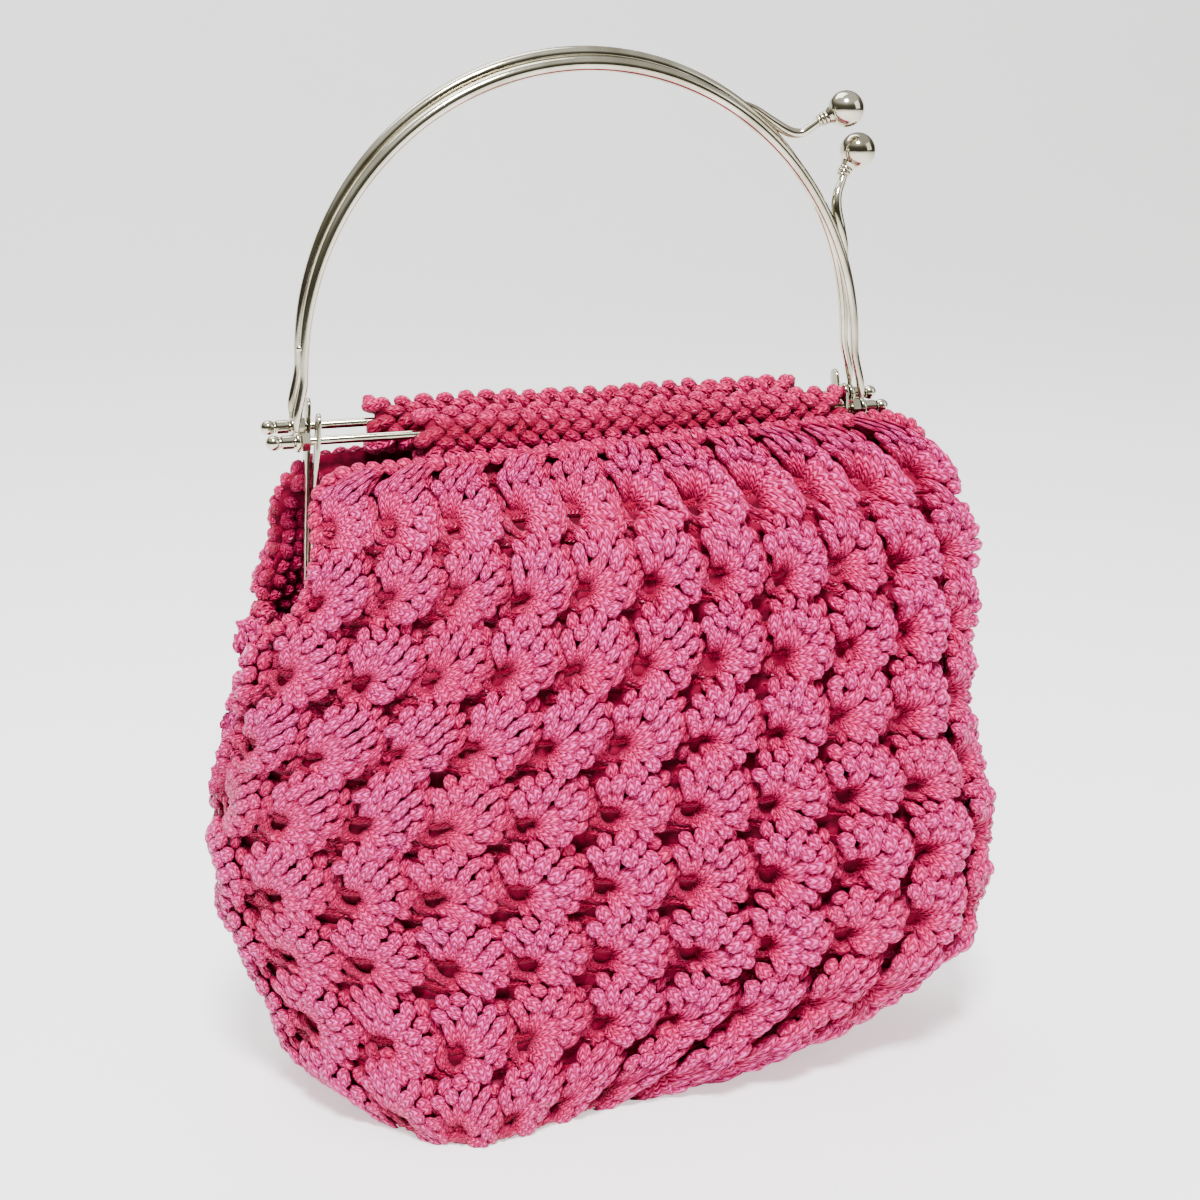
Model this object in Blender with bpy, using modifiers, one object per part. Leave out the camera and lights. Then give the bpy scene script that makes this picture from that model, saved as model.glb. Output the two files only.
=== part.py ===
"""Crocheted handbag with a double hoop handle, standing on its own base.

Metres, +Z up, the front faces -Y. The metal frame is laid out about the middle of the hoops, and the
finished model is then moved so that the middle of its outline stands on the origin.
"""

import math
from collections import namedtuple

import bmesh
import bpy
import numpy as np
from mathutils import Matrix, Vector

# Clearances
GAP = 0.0003
ROD_CLEARANCE = 0.0003

# Rods, which carry the bag and the hoops
ROD_HEIGHT = 0.260
ROD_DIAMETER = 0.0032
ROD_SPACING = 0.011
BACK_ROD_RISE = 0.0035

# Hoops, one in front and one behind
HOOP_OUTER_RADIUS = 0.108
HOOP_LEG_LENGTH = 0.024
HOOP_LEG_FLARE = 0.0034
HOOP_TOP_DIAMETER = 0.0054
HOOP_FOOT_DIAMETER = 0.0032
HOOP_TAPER = 0.7
EYE_DIAMETER = 0.0076
EYE_THICKNESS = 0.0016

# Ends of the rods
NUT_ACROSS = 0.0064
NUT_LENGTH = 0.0033
COLLAR_DIAMETER = 0.005
COLLAR_LENGTH = 0.005
BALL_NUT_RADIUS = 0.00275
BALL_NUT_FLAT = 0.0022
BALL_NUT_BORE = 0.003

# Hinged legs between the rods and the hinge pins
LEG_WIDTH = 0.007
LEG_THICKNESS = 0.0012
LEG_LENGTH = 0.064
LEG_ABOVE_ROD = 0.010
LEG_SPLAY = 0.005
LEG_CLEARANCE = 0.0006
PIN_DIAMETER = 0.0024
PIN_HEAD_DIAMETER = 0.0052
PIN_HEAD_LENGTH = 0.0013
STOP_RIVET_DIAMETER = 0.0022
STOP_RIVET_RISE = 0.013

# Clasp, a pair of balls on fingers
CLASP_BALL_RADIUS = 0.0068
CLASP_BALL_OFFSET = 0.002
CLASP_RING_DIAMETER = 0.0052
CLASP_RING_LENGTH = 0.003

# Crocheted casings, which the rods run through
CASING_LENGTH = 0.168
CASING_THICKNESS = 0.0104
CASING_ABOVE_ROD = 0.0088
CASING_BELOW_ROD = 0.012
CASING_BORE_CLEARANCE = 0.0006
BACK_CASING_SHIFT = 0.0015
CASING_EDGE = 0.0015
CASING_ROUNDNESS = 0.6

# Crocheted body
FABRIC = 0.007
BODY_HALF_WIDTH = 0.150
BODY_HALF_DEPTH = 0.054
TOP_EDGE_BELOW_ROD = 0.0055
TOP_EDGE_TILT = 0.0055
SIDE_DENT = 0.018
DENT_HALF_WIDTH = 0.017
SHELLS_AROUND = 22
SHELL_ROWS = 9
CELLS_PER_SHELL = 3
SHELL_RELIEF = 0.0035
ROW_VALLEY_SHARE = 0.35

# Slack at the front's lower left corner, placed and sized in shares of the half width and the height
CORNER_SAG = 0.024
CORNER_SAG_SIDE = -0.46
CORNER_SAG_WIDTH = 0.30
CORNER_SAG_TOP = 0.34

# Sides of round pieces
ROUND_STEPS = 10
BALL_NUT_RINGS = 7
SHARP_EDGE = math.radians(40)
HOOP_STEPS = 22

BODY_HEIGHT = ROD_HEIGHT - TOP_EDGE_BELOW_ROD
EYE_MIDDLE = HOOP_OUTER_RADIUS - HOOP_FOOT_DIAMETER / 2 + HOOP_LEG_FLARE
NUT_OUTER = EYE_MIDDLE - EYE_THICKNESS / 2 - GAP
LEG_STACK = 2 * LEG_THICKNESS + GAP
LEG_TILT_ROOM = LEG_WIDTH / 2 * LEG_SPLAY / LEG_LENGTH
LEG_MIDDLE = NUT_OUTER - NUT_LENGTH - GAP - LEG_TILT_ROOM - LEG_STACK / 2
HINGE_MIDDLE = LEG_MIDDLE + LEG_SPLAY
COLLAR_INNER = EYE_MIDDLE + EYE_THICKNESS / 2 + GAP
BALL_NUT_INNER = COLLAR_INNER + COLLAR_LENGTH + GAP
ROD_HALF_LENGTH = BALL_NUT_INNER + BALL_NUT_BORE - GAP
HINGE_OUTSIDE = HINGE_MIDDLE + LEG_STACK / 2 + GAP + PIN_HEAD_LENGTH + LEG_TILT_ROOM
CASING_TILT_ROOM = max(LEG_WIDTH / 2, CASING_ABOVE_ROD) * LEG_SPLAY / LEG_LENGTH
CASING_END_LIMIT = LEG_MIDDLE - LEG_STACK / 2 - CASING_TILT_ROOM - GAP

# Sections of the body from the floor to the top edge. Height is a share of the body's height, the
# half width and the shift to the right are shares of BODY_HALF_WIDTH, the half depth is a share of
# BODY_HALF_DEPTH, and a higher squareness makes a boxier section.
Section = namedtuple("Section", "height half_width half_depth shift twist squareness")
SECTIONS = (
    Section(0.00, 0.49, 0.80, -0.16, -6.0, 2.7),
    Section(0.05, 0.685, 0.88, -0.085, -8.0, 2.7),
    Section(0.15, 0.89, 0.93, 0.035, -9.5, 2.7),
    Section(0.35, 1.01, 0.98, 0.05, -8.0, 2.7),
    Section(0.55, 0.96, 0.95, 0.035, -5.0, 2.7),
    Section(0.75, 0.945, 0.79, 0.08, -2.0, 2.8),
    Section(0.89, 0.91, 0.60, 0.08, 0.0, 3.6),
    Section(0.96, 0.925, 0.34, 0.065, 0.0, 6.0),
    Section(1.00, 0.925, 0.34, 0.065, 0.0, 6.0),
)

# Edges of the two side slits, as shares of the section's half width, 1 where the sides are closed.
SlitEdge = namedtuple("SlitEdge", "height front_left front_right back_left back_right")
SLIT_EDGES = (
    SlitEdge(0.741, 1.000, 1.000, 1.000, 1.000),
    SlitEdge(0.778, 0.930, 0.990, 0.985, 0.970),
    SlitEdge(0.815, 0.910, 0.985, 0.972, 0.950),
    SlitEdge(0.889, 0.885, 0.970, 0.950, 0.920),
    SlitEdge(0.945, 0.850, 0.905, 0.905, 0.880),
    SlitEdge(0.985, 0.800, 0.830, 0.840, 0.820),
    SlitEdge(1.000, 0.740, 0.750, 0.780, 0.740),
)
SLIT_BOTTOM = SLIT_EDGES[0].height
DENT_BOTTOM = 0.47

# Centre line of each clasp finger, from its tip along the hoop to its ball. Radius is a share of
# HOOP_OUTER_RADIUS, thickness a share of HOOP_TOP_DIAMETER, and crossing goes from 0 on the finger's
# own hoop to 1 at its ball.
FingerPoint = namedtuple("FingerPoint", "angle radius thickness crossing")
BACK_FINGER = (
    FingerPoint(56.0, 0.985, 0.30, 0.0),
    FingerPoint(52.0, 1.000, 0.55, 0.0),
    FingerPoint(47.0, 1.012, 0.72, 0.0),
    FingerPoint(43.5, 1.030, 0.76, 0.1),
    FingerPoint(41.8, 1.060, 0.66, 0.3),
    FingerPoint(41.5, 1.105, 0.56, 0.6),
    FingerPoint(41.2, 1.150, 0.56, 0.85),
    FingerPoint(40.1, 1.222, 0.56, 1.0),
)
FRONT_FINGER = (
    FingerPoint(17.0, 0.985, 0.30, 0.0),
    FingerPoint(20.5, 1.000, 0.55, 0.0),
    FingerPoint(24.5, 1.010, 0.72, 0.0),
    FingerPoint(28.0, 1.026, 0.76, 0.1),
    FingerPoint(30.2, 1.056, 0.66, 0.3),
    FingerPoint(31.4, 1.095, 0.56, 0.6),
    FingerPoint(32.6, 1.135, 0.56, 0.85),
    FingerPoint(34.0, 1.208, 0.56, 1.0),
)
RING_FROM_BALL = 0.0092

# Stop stud on the left leg of the front hoop, above the rod
STUD_RISE = 0.033
STUD_RADIUS = 0.0013

# Share of a hoop leg at which it has flared out to the rod's end, just above its eye
LEG_FLARED = 0.8


def clear_scene():
    """Removes whatever the scene holds."""
    for item in list(bpy.data.objects):
        bpy.data.objects.remove(item, do_unlink=True)


def new_collection(name, parts=True):
    """A collection in the scene, for parts or for cutters."""
    collection = bpy.data.collections.new(name)
    bpy.context.scene.collection.children.link(collection)
    collection.hide_render = not parts
    return collection


def finish(name, colour, roughness, metallic):
    """One Principled material."""
    material = bpy.data.materials.new(name)
    material.use_nodes = True
    shader = material.node_tree.nodes["Principled BSDF"]
    shader.inputs["Base Color"].default_value = (*colour, 1.0)
    shader.inputs["Roughness"].default_value = roughness
    shader.inputs["Metallic"].default_value = metallic
    material.diffuse_color = (*colour, 1.0)
    return material


def add_object(name, data, collection, material=None):
    """Links a new object and dresses it."""
    item = bpy.data.objects.new(name, data)
    collection.objects.link(item)
    if material:
        data.materials.append(material)
    return item


def mesh_from(bm, name):
    """Turns a bmesh into a smooth shaded mesh."""
    mesh = bpy.data.meshes.new(name)
    bm.to_mesh(mesh)
    bm.free()
    mesh.shade_smooth()
    mesh.set_sharp_from_angle(angle=SHARP_EDGE)
    return mesh


def curve_to_mesh(item, collection):
    """Replaces a curve object by a closed mesh object of the same name and place."""
    graph = bpy.context.evaluated_depsgraph_get()
    mesh = bpy.data.meshes.new_from_object(item.evaluated_get(graph))
    bm = bmesh.new()
    bm.from_mesh(mesh)
    bmesh.ops.remove_doubles(bm, verts=bm.verts, dist=1e-6)
    bmesh.ops.recalc_face_normals(bm, faces=bm.faces)
    bm.to_mesh(mesh)
    bm.free()
    name = item.name
    place = item.matrix_world.copy()
    bpy.data.objects.remove(item, do_unlink=True)
    made = bpy.data.objects.new(name, mesh)
    made.matrix_world = place
    collection.objects.link(made)
    return made


def boolean(target, tool, operation):
    """Joins or cuts with a helper that is not part of the model."""
    tool.hide_render = True
    tool.display_type = "WIRE"
    modifier = target.modifiers.new(tool.name, "BOOLEAN")
    modifier.operation = operation
    modifier.object = tool
    modifier.solver = "EXACT"


def cylinder(name, start, end, radius, collection, steps=ROUND_STEPS):
    """A closed round bar between two points."""
    axis = Vector(end) - Vector(start)
    bm = bmesh.new()
    bmesh.ops.create_cone(
        bm, cap_ends=True, segments=steps, radius1=radius, radius2=radius, depth=axis.length
    )
    turn = Vector((0, 0, 1)).rotation_difference(axis).to_matrix().to_4x4()
    middle = (Vector(start) + Vector(end)) / 2
    bmesh.ops.transform(bm, matrix=Matrix.Translation(middle) @ turn, verts=bm.verts)
    return add_object(name, mesh_from(bm, name), collection)


def ball(name, centre, radius, collection, steps=ROUND_STEPS):
    """A closed ball."""
    bm = bmesh.new()
    bmesh.ops.create_uvsphere(bm, u_segments=steps, v_segments=steps - 4, radius=radius)
    bmesh.ops.translate(bm, vec=Vector(centre), verts=bm.verts)
    return add_object(name, mesh_from(bm, name), collection)


def tube_along(name, points, radii, collection, bevel_resolution=1):
    """A tube along points, with a radius at each."""
    curve = bpy.data.curves.new(name, "CURVE")
    curve.dimensions = "3D"
    curve.bevel_depth = 1.0
    curve.bevel_resolution = bevel_resolution
    curve.use_fill_caps = True
    spline = curve.splines.new("POLY")
    spline.points.add(len(points) - 1)
    for place, point, radius in zip(spline.points, points, radii):
        place.co = (*point, 1.0)
        place.radius = radius
    return curve_to_mesh(add_object(name, curve, collection), collection)


def outline_spline(curve, points):
    """Adds one closed outline to a flat curve."""
    spline = curve.splines.new("POLY")
    spline.points.add(len(points) - 1)
    for place, point in zip(spline.points, points):
        place.co = (point[0], point[1], 0.0, 1.0)
    spline.use_cyclic_u = True


def flat_piece(name, outlines, thickness, place, collection, material):
    """A plate of the given outlines, in the local XY plane, the first outline outside."""
    curve = bpy.data.curves.new(name, "CURVE")
    curve.dimensions = "2D"
    curve.fill_mode = "BOTH"
    curve.extrude = thickness / 2
    for points in outlines:
        outline_spline(curve, points)
    item = add_object(name, curve, collection)
    item.matrix_world = place
    bpy.context.view_layer.update()
    made = curve_to_mesh(item, collection)
    made.data.materials.append(material)
    made.data.shade_smooth()
    made.data.set_sharp_from_angle(angle=SHARP_EDGE)
    return made


def circle_points(radius, steps=ROUND_STEPS, centre=(0.0, 0.0), start=0.0):
    """Points round a circle."""
    turns = [start + 2 * math.pi * i / steps for i in range(steps)]
    return [(centre[0] + radius * math.cos(t), centre[1] + radius * math.sin(t)) for t in turns]


def turned(name, profile, place, collection, material):
    """A turned solid about local Z. The profile runs down its outer side at +X."""
    mesh = bpy.data.meshes.new(name)
    edges = [(i, i + 1) for i in range(len(profile) - 1)]
    mesh.from_pydata([(radius, 0.0, height) for radius, height in profile], edges, [])
    item = add_object(name, mesh, collection, material)
    item.matrix_world = place
    screw = item.modifiers.new("turn", "SCREW")
    screw.steps = ROUND_STEPS
    screw.render_steps = ROUND_STEPS
    screw.use_merge_vertices = True
    screw.merge_threshold = 1e-6
    return item


def along_x(x, y, z, side):
    """A frame whose local Z points along X, outwards on the given side."""
    turn = Matrix.Rotation(side * math.pi / 2, 4, "Y")
    return Matrix.Translation((x, y, z)) @ turn


def smooth_step(value):
    """Eases from 0 to 1."""
    value = np.clip(value, 0.0, 1.0)
    return value * value * (3 - 2 * value)


def between(table, column, height):
    """Reads a column at a height, on a smooth curve through the table's rows."""
    knots = [row.height for row in table]
    values = [getattr(row, column) for row in table]
    slopes = np.gradient(values, knots)
    i = min(max(np.searchsorted(knots, height) - 1, 0), len(knots) - 2)
    span = knots[i + 1] - knots[i]
    t = (height - knots[i]) / span
    start = (2 * t**3 - 3 * t**2 + 1) * values[i] + (t**3 - 2 * t**2 + t) * span * slopes[i]
    end = (3 * t**2 - 2 * t**3) * values[i + 1] + (t**3 - t**2) * span * slopes[i + 1]
    return start + end


def rod_place(row):
    """Y and Z of the front rod, row -1, or of the back rod, row 1."""
    rise = BACK_ROD_RISE if row > 0 else 0.0
    return row * ROD_SPACING / 2, ROD_HEIGHT + rise


def top_half_depth():
    """Half depth of the body at its top edge, where it is sewn to the outside of the casings."""
    return ROD_SPACING / 2 + CASING_THICKNESS / 2 + GAP + FABRIC


def half_depth_at(height):
    """Half depth of the body at a height, easing to an upright edge beside the casings."""
    shoulder, upright = SECTIONS[-3], SECTIONS[-2]
    if height >= upright.height:
        return top_half_depth()
    plain = between(SECTIONS, "half_depth", height) * BODY_HALF_DEPTH
    share = smooth_step((height - shoulder.height) / (upright.height - shoulder.height))
    return plain + share * (top_half_depth() - upright.half_depth * BODY_HALF_DEPTH)


def dented(x, y, seam, room, height):
    """Pulls the side of a section in round its seam, but never nearer than the hinge needs."""
    depth = min(SIDE_DENT, max(seam - room, 0.0)) if seam > room else seam - room
    grown = smooth_step((height - DENT_BOTTOM) / (SLIT_BOTTOM - DENT_BOTTOM))
    across = np.clip(1 - (y / DENT_HALF_WIDTH) ** 2, 0.0, 1.0) ** 2
    return x - depth * grown * across


def corner_sag(along, y, height):
    """How far the lower left corner of the front sags forward, over the edge of the base."""
    grown = 1 - smooth_step(height / CORNER_SAG_TOP)
    front_share = smooth_step(-y / half_depth_at(height))
    spread = np.exp(-(((along / BODY_HALF_WIDTH - CORNER_SAG_SIDE) / CORNER_SAG_WIDTH) ** 2))
    return CORNER_SAG * grown * front_share * spread


def panel_row(front, height, count):
    """Points of the front or back panel at one height, evenly spaced from edge to edge."""
    half_width = between(SECTIONS, "half_width", height) * BODY_HALF_WIDTH
    shift = between(SECTIONS, "shift", height) * BODY_HALF_WIDTH
    power = 2 / between(SECTIONS, "squareness", height)
    turns = np.linspace(0, math.pi, 241)
    x = -half_width * np.sign(np.cos(turns)) * np.abs(np.cos(turns)) ** power
    y = -half_depth_at(height) * np.sin(turns) ** power
    run = np.concatenate([[0], np.cumsum(np.hypot(np.diff(x), np.diff(y)))])
    ends = [-1.0, 1.0]
    if height > SLIT_BOTTOM:
        face = "front" if front else "back"
        ends = [-between(SLIT_EDGES, face + "_left", height), between(SLIT_EDGES, face + "_right", height)]
    marks = np.interp(np.array(ends) * half_width, x, run)
    spots = np.linspace(marks[0], marks[1], count + 1)
    x = np.interp(spots, run, x)
    y = np.interp(spots, run, y)
    room = HINGE_OUTSIDE + GAP + FABRIC
    left = -dented(-x, y, half_width - shift, room, height)
    right = dented(x, y, half_width + shift, room, height)
    x = np.where(x < 0, left, right)
    if not front:
        x, y = x[::-1], -y[::-1]
    twist = math.radians(between(SECTIONS, "twist", height))
    along = x * math.cos(twist) - y * math.sin(twist) + shift
    across = x * math.sin(twist) + y * math.cos(twist) - corner_sag(along, y, height)
    tilt = TOP_EDGE_TILT * smooth_step((height - SLIT_BOTTOM) / (1 - SLIT_BOTTOM))
    up = BODY_HEIGHT * height + tilt * along / BODY_HALF_WIDTH
    return np.column_stack([along, across, up])


def shell_relief(around, height):
    """How far the crocheted shells stand out, from 0 in the valleys to 1 on the shells."""
    column = 0.5 - 0.5 * math.cos(2 * math.pi * around * SHELLS_AROUND / 2)
    row = 0.5 - 0.5 * math.cos(2 * math.pi * height * SHELL_ROWS)
    ends = smooth_step(height * SHELL_ROWS) * smooth_step((1 - height) * SHELL_ROWS)
    return float((ROW_VALLEY_SHARE + (1 - ROW_VALLEY_SHARE) * row) * column * ends)


def crochet_body(collection, material):
    """The hollow body: two panels that are one below the side slits, closed by a flat base."""
    columns = SHELLS_AROUND * CELLS_PER_SHELL // 2
    rows = SHELL_ROWS * CELLS_PER_SHELL
    bm = bmesh.new()
    relief = bm.verts.layers.float.new("relief")
    for front in (True, False):
        grid = bmesh.ops.create_grid(bm, x_segments=columns, y_segments=rows, size=0.5)["verts"]
        places = [panel_row(front, row / rows, columns) for row in range(rows + 1)]
        for vert in grid:
            column = round((vert.co.x + 0.5) * columns)
            row = round((vert.co.y + 0.5) * rows)
            vert[relief] = shell_relief(column / columns, row / rows)
            vert.co = places[row][column]
    bmesh.ops.remove_doubles(bm, verts=bm.verts, dist=1e-6)
    floor = [edge for edge in bm.edges if edge.is_boundary and max(v.co.z for v in edge.verts) < GAP]
    base = bmesh.ops.edgeloop_fill(bm, edges=floor)["faces"]
    for face in base:
        face.normal_update()
        if face.normal.z > 0:
            face.normal_flip()
    bm.normal_update()
    for vert in bm.verts:
        vert.co += vert.normal * vert[relief] * SHELL_RELIEF
    body = add_object("crochet_bag", mesh_from(bm, "crochet_bag"), collection, material)
    wall = body.modifiers.new("wall", "SOLIDIFY")
    wall.thickness = FABRIC
    wall.offset = -1
    wall.use_even_offset = True
    wall.use_quality_normals = True
    return body


def rounded(value, power):
    """Raises a value to a power and keeps its sign."""
    return math.copysign(abs(value) ** power, value)


def casing(name, row, left_end, collection, cutters, material):
    """A crocheted casing round one rod, higher than it is deep, with the rod's way through it."""
    y, z = rod_place(row)
    half_height = (CASING_ABOVE_ROD + CASING_BELOW_ROD) / 2
    middle = z + (CASING_ABOVE_ROD - CASING_BELOW_ROD) / 2
    half_depth = CASING_THICKNESS / 2
    outline = [
        (half_height * rounded(c, CASING_ROUNDNESS), half_depth * rounded(s, CASING_ROUNDNESS))
        for c, s in circle_points(1.0, 16)
    ]
    place = along_x(left_end + CASING_LENGTH / 2, y, middle, 1)
    item = flat_piece(name, [outline], CASING_LENGTH, place, collection, material)
    edge = item.modifiers.new("edge", "BEVEL")
    edge.width = CASING_EDGE
    edge.segments = 2
    edge.limit_method = "ANGLE"
    edge.angle_limit = math.radians(60)
    bore = ROD_DIAMETER / 2 + CASING_BORE_CLEARANCE
    tool = cylinder(
        name + "_bore", (left_end - FABRIC, y, z), (left_end + CASING_LENGTH + FABRIC, y, z), bore, cutters
    )
    boolean(item, tool, "DIFFERENCE")
    return item


def hoop_radius_at(angle):
    """Radius of the hoop's tube: thickest at the top, thinnest at the legs."""
    grown = math.sin(angle) ** HOOP_TAPER if math.sin(angle) > 0 else 0.0
    return (HOOP_FOOT_DIAMETER + (HOOP_TOP_DIAMETER - HOOP_FOOT_DIAMETER) * grown) / 2


def hoop_y(row, z):
    """The hoops lean together, so that they touch at the top."""
    foot_y, foot_z = rod_place(row)
    top_y = row * (HOOP_TOP_DIAMETER + GAP) / 2
    rise = HOOP_LEG_LENGTH + HOOP_OUTER_RADIUS - HOOP_TOP_DIAMETER / 2
    return foot_y + (top_y - foot_y) * (z - foot_z) / rise


def hoop_line(row):
    """Centre line and radii of a hoop, from the left eye over the top to the right eye."""
    centre = rod_place(row)[1] + HOOP_LEG_LENGTH
    points = []
    radii = []
    for i in range(HOOP_STEPS + 1):
        angle = math.pi * (1 - i / HOOP_STEPS)
        radius = hoop_radius_at(angle)
        reach = HOOP_OUTER_RADIUS - radius
        z = centre + reach * math.sin(angle)
        points.append((reach * math.cos(angle), hoop_y(row, z), z))
        radii.append(radius)
    foot = HOOP_FOOT_DIAMETER / 2
    flat = EYE_THICKNESS / 2 - GAP / 2
    for share, radius in ((0.3, foot), (0.6, foot), (LEG_FLARED, (foot + flat) / 2), (1.0, flat)):
        z = centre - HOOP_LEG_LENGTH * share
        x = HOOP_OUTER_RADIUS - foot + HOOP_LEG_FLARE * smooth_step(share / LEG_FLARED)
        points = [(-x, hoop_y(row, z), z), *points, (x, hoop_y(row, z), z)]
        radii = [radius, *radii, radius]
    return points, radii


def polar_point(row, point):
    """A clasp finger's point, on its way from its own hoop to its ball's side."""
    centre = rod_place(row)[1] + HOOP_LEG_LENGTH
    angle = math.radians(point.angle)
    x = HOOP_OUTER_RADIUS * point.radius * math.cos(angle)
    z = centre + HOOP_OUTER_RADIUS * point.radius * math.sin(angle)
    own = hoop_y(row, z)
    return x, own + (-row * CLASP_BALL_OFFSET - own) * point.crossing, z


def clasp_finger(name, row, line, cutters):
    """The pieces of a clasp finger, which are soldered to each other and to the hoop."""
    points = [Vector(polar_point(row, point)) for point in line]
    radii = [HOOP_TOP_DIAMETER / 2 * point.thickness for point in line]
    stem = tube_along(name + "_stem", points, radii, cutters)
    back = (points[-2] - points[-1]).normalized()
    ring_middle = points[-1] + back * RING_FROM_BALL
    half = back * CLASP_RING_LENGTH / 2
    ring = cylinder(
        name + "_ring", ring_middle - half, ring_middle + half, CLASP_RING_DIAMETER / 2, cutters
    )
    return [stem, ring, ball(name + "_ball", points[-1], CLASP_BALL_RADIUS, cutters)]


def hoop(name, row, line, collection, cutters, material):
    """One hoop with its two eyes and its clasp finger, all soldered into one."""
    points, radii = hoop_line(row)
    item = tube_along(name, points, radii, collection)
    item.data.materials.append(material)
    item.data.shade_smooth()
    y, z = rod_place(row)
    pieces = clasp_finger(name, row, line, cutters)
    if row < 0:
        stud_z = z + STUD_RISE
        rise = STUD_RISE - HOOP_LEG_LENGTH
        outside = math.sqrt(HOOP_OUTER_RADIUS**2 - rise**2)
        pieces.append(ball(name + "_stud", (-outside, hoop_y(row, stud_z), stud_z), STUD_RADIUS, cutters, 10))
    half = EYE_THICKNESS / 2
    for side, word in ((-1, "left"), (1, "right")):
        ends = [(side * (EYE_MIDDLE + shift), y, z) for shift in (-half, half)]
        pieces.append(cylinder(f"{name}_{word}_eye", *ends, EYE_DIAMETER / 2, cutters))
    for piece in pieces:
        boolean(item, piece, "UNION")
    bore = ROD_DIAMETER / 2 + ROD_CLEARANCE
    for side, word in ((-1, "left"), (1, "right")):
        ends = [(side * (EYE_MIDDLE + shift), y, z) for shift in (-FABRIC, FABRIC)]
        boolean(item, cylinder(f"{name}_{word}_bore", *ends, bore, cutters), "DIFFERENCE")
    return item


def rod(name, row, collection, material):
    """One rod, which ends inside its two ball nuts."""
    y, z = rod_place(row)
    item = cylinder(
        name, (-ROD_HALF_LENGTH, y, z), (ROD_HALF_LENGTH, y, z), ROD_DIAMETER / 2, collection
    )
    item.data.materials.append(material)
    return item


def ball_nut(name, side, row, collection, material):
    """A ball with a flat inner face and a blind bore for the rod's end."""
    y, z = rod_place(row)
    bore = ROD_DIAMETER / 2 + ROD_CLEARANCE
    first = math.asin(BALL_NUT_FLAT / BALL_NUT_RADIUS)
    step = (math.pi / 2 + first) / BALL_NUT_RINGS
    sweep = [math.pi / 2 - step * i for i in range(BALL_NUT_RINGS + 1)]
    round_part = [(BALL_NUT_RADIUS * math.cos(t), BALL_NUT_RADIUS * math.sin(t)) for t in sweep]
    round_part[0] = (0.0, BALL_NUT_RADIUS)
    bottom = -BALL_NUT_FLAT
    depth = bottom + BALL_NUT_BORE
    face = max(bore + GAP, round_part[-1][0])
    round_part[-1] = (face, bottom)
    profile = round_part + [(bore, bottom), (bore, depth), (0.0, depth)]
    place = along_x(side * (BALL_NUT_INNER + BALL_NUT_FLAT), y, z, side)
    return turned(name, profile, place, collection, material)


def ring_piece(name, outline, length, inner, side, row, collection, material):
    """A nut or a collar: an outline with a bore, threaded on a rod from a distance outwards."""
    y, z = rod_place(row)
    bore = ROD_DIAMETER / 2 + ROD_CLEARANCE
    place = along_x(side * (inner + length / 2), y, z, side)
    return flat_piece(name, [outline, circle_points(bore)], length, place, collection, material)


def leg_frame(side):
    """The hinge point of one side, the direction up each leg and the normal of both plates."""
    hinge = Vector((side * HINGE_MIDDLE, 0.0, ROD_HEIGHT - LEG_LENGTH))
    tops = {}
    for row in (-1, 1):
        y, z = rod_place(row)
        tops[row] = Vector((side * LEG_MIDDLE, y, z)) - hinge
    normal = tops[-1].cross(tops[1]).normalized()
    if normal.x * side < 0:
        normal = -normal
    return hinge, tops, normal


def leg(name, side, row, collection, cutters, material):
    """A flat leg from the hinge pin to the rod and a little above it, holed for both."""
    hinge, tops, normal = leg_frame(side)
    reach = tops[row].length
    up = tops[row].normalized()
    across = up.cross(normal)
    half = LEG_WIDTH / 2
    top = reach + LEG_ABOVE_ROD - half
    low = [(half * math.cos(t), half * math.sin(t)) for t in np.linspace(math.pi, 2 * math.pi, 7)]
    high = [(half * math.cos(t), top + half * math.sin(t)) for t in np.linspace(0, math.pi, 7)]
    holes = [
        circle_points(PIN_DIAMETER / 2 + ROD_CLEARANCE, 10),
        circle_points(ROD_DIAMETER / 2 + LEG_CLEARANCE, 10, (0.0, reach)),
    ]
    outer = row * (LEG_THICKNESS + GAP) / 2
    place = Matrix((across, up, normal)).transposed().to_4x4()
    place.translation = hinge + normal * outer
    item = flat_piece(name, [low + high, *holes], LEG_THICKNESS, place, collection, material)
    if row < 0:
        foot = hinge + normal * outer + up * STOP_RIVET_RISE
        inner = foot - normal * (LEG_THICKNESS / 2 + PIN_HEAD_LENGTH / 2)
        tool = cylinder(name + "_stop", foot, inner, STOP_RIVET_DIAMETER / 2, cutters, 8)
        boolean(item, tool, "UNION")
    return item


def hinge_pin(name, side, collection, material):
    """A rivet through the lower ends of both legs of one side."""
    hinge, tops, normal = leg_frame(side)
    shaft = PIN_DIAMETER / 2
    head = PIN_HEAD_DIAMETER / 2
    inner = LEG_STACK / 2 + GAP
    outer = inner + PIN_HEAD_LENGTH
    chamfer = PIN_HEAD_LENGTH / 2
    rim = [(head - chamfer, outer), (head, outer - chamfer), (head, inner)]
    half_profile = [(0.0, outer), *rim, (shaft, inner)]
    profile = half_profile + [(radius, -height) for radius, height in reversed(half_profile)]
    turn = Vector((0, 0, 1)).rotation_difference(normal).to_matrix().to_4x4()
    return turned(name, profile, Matrix.Translation(hinge) @ turn, collection, material)


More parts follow.
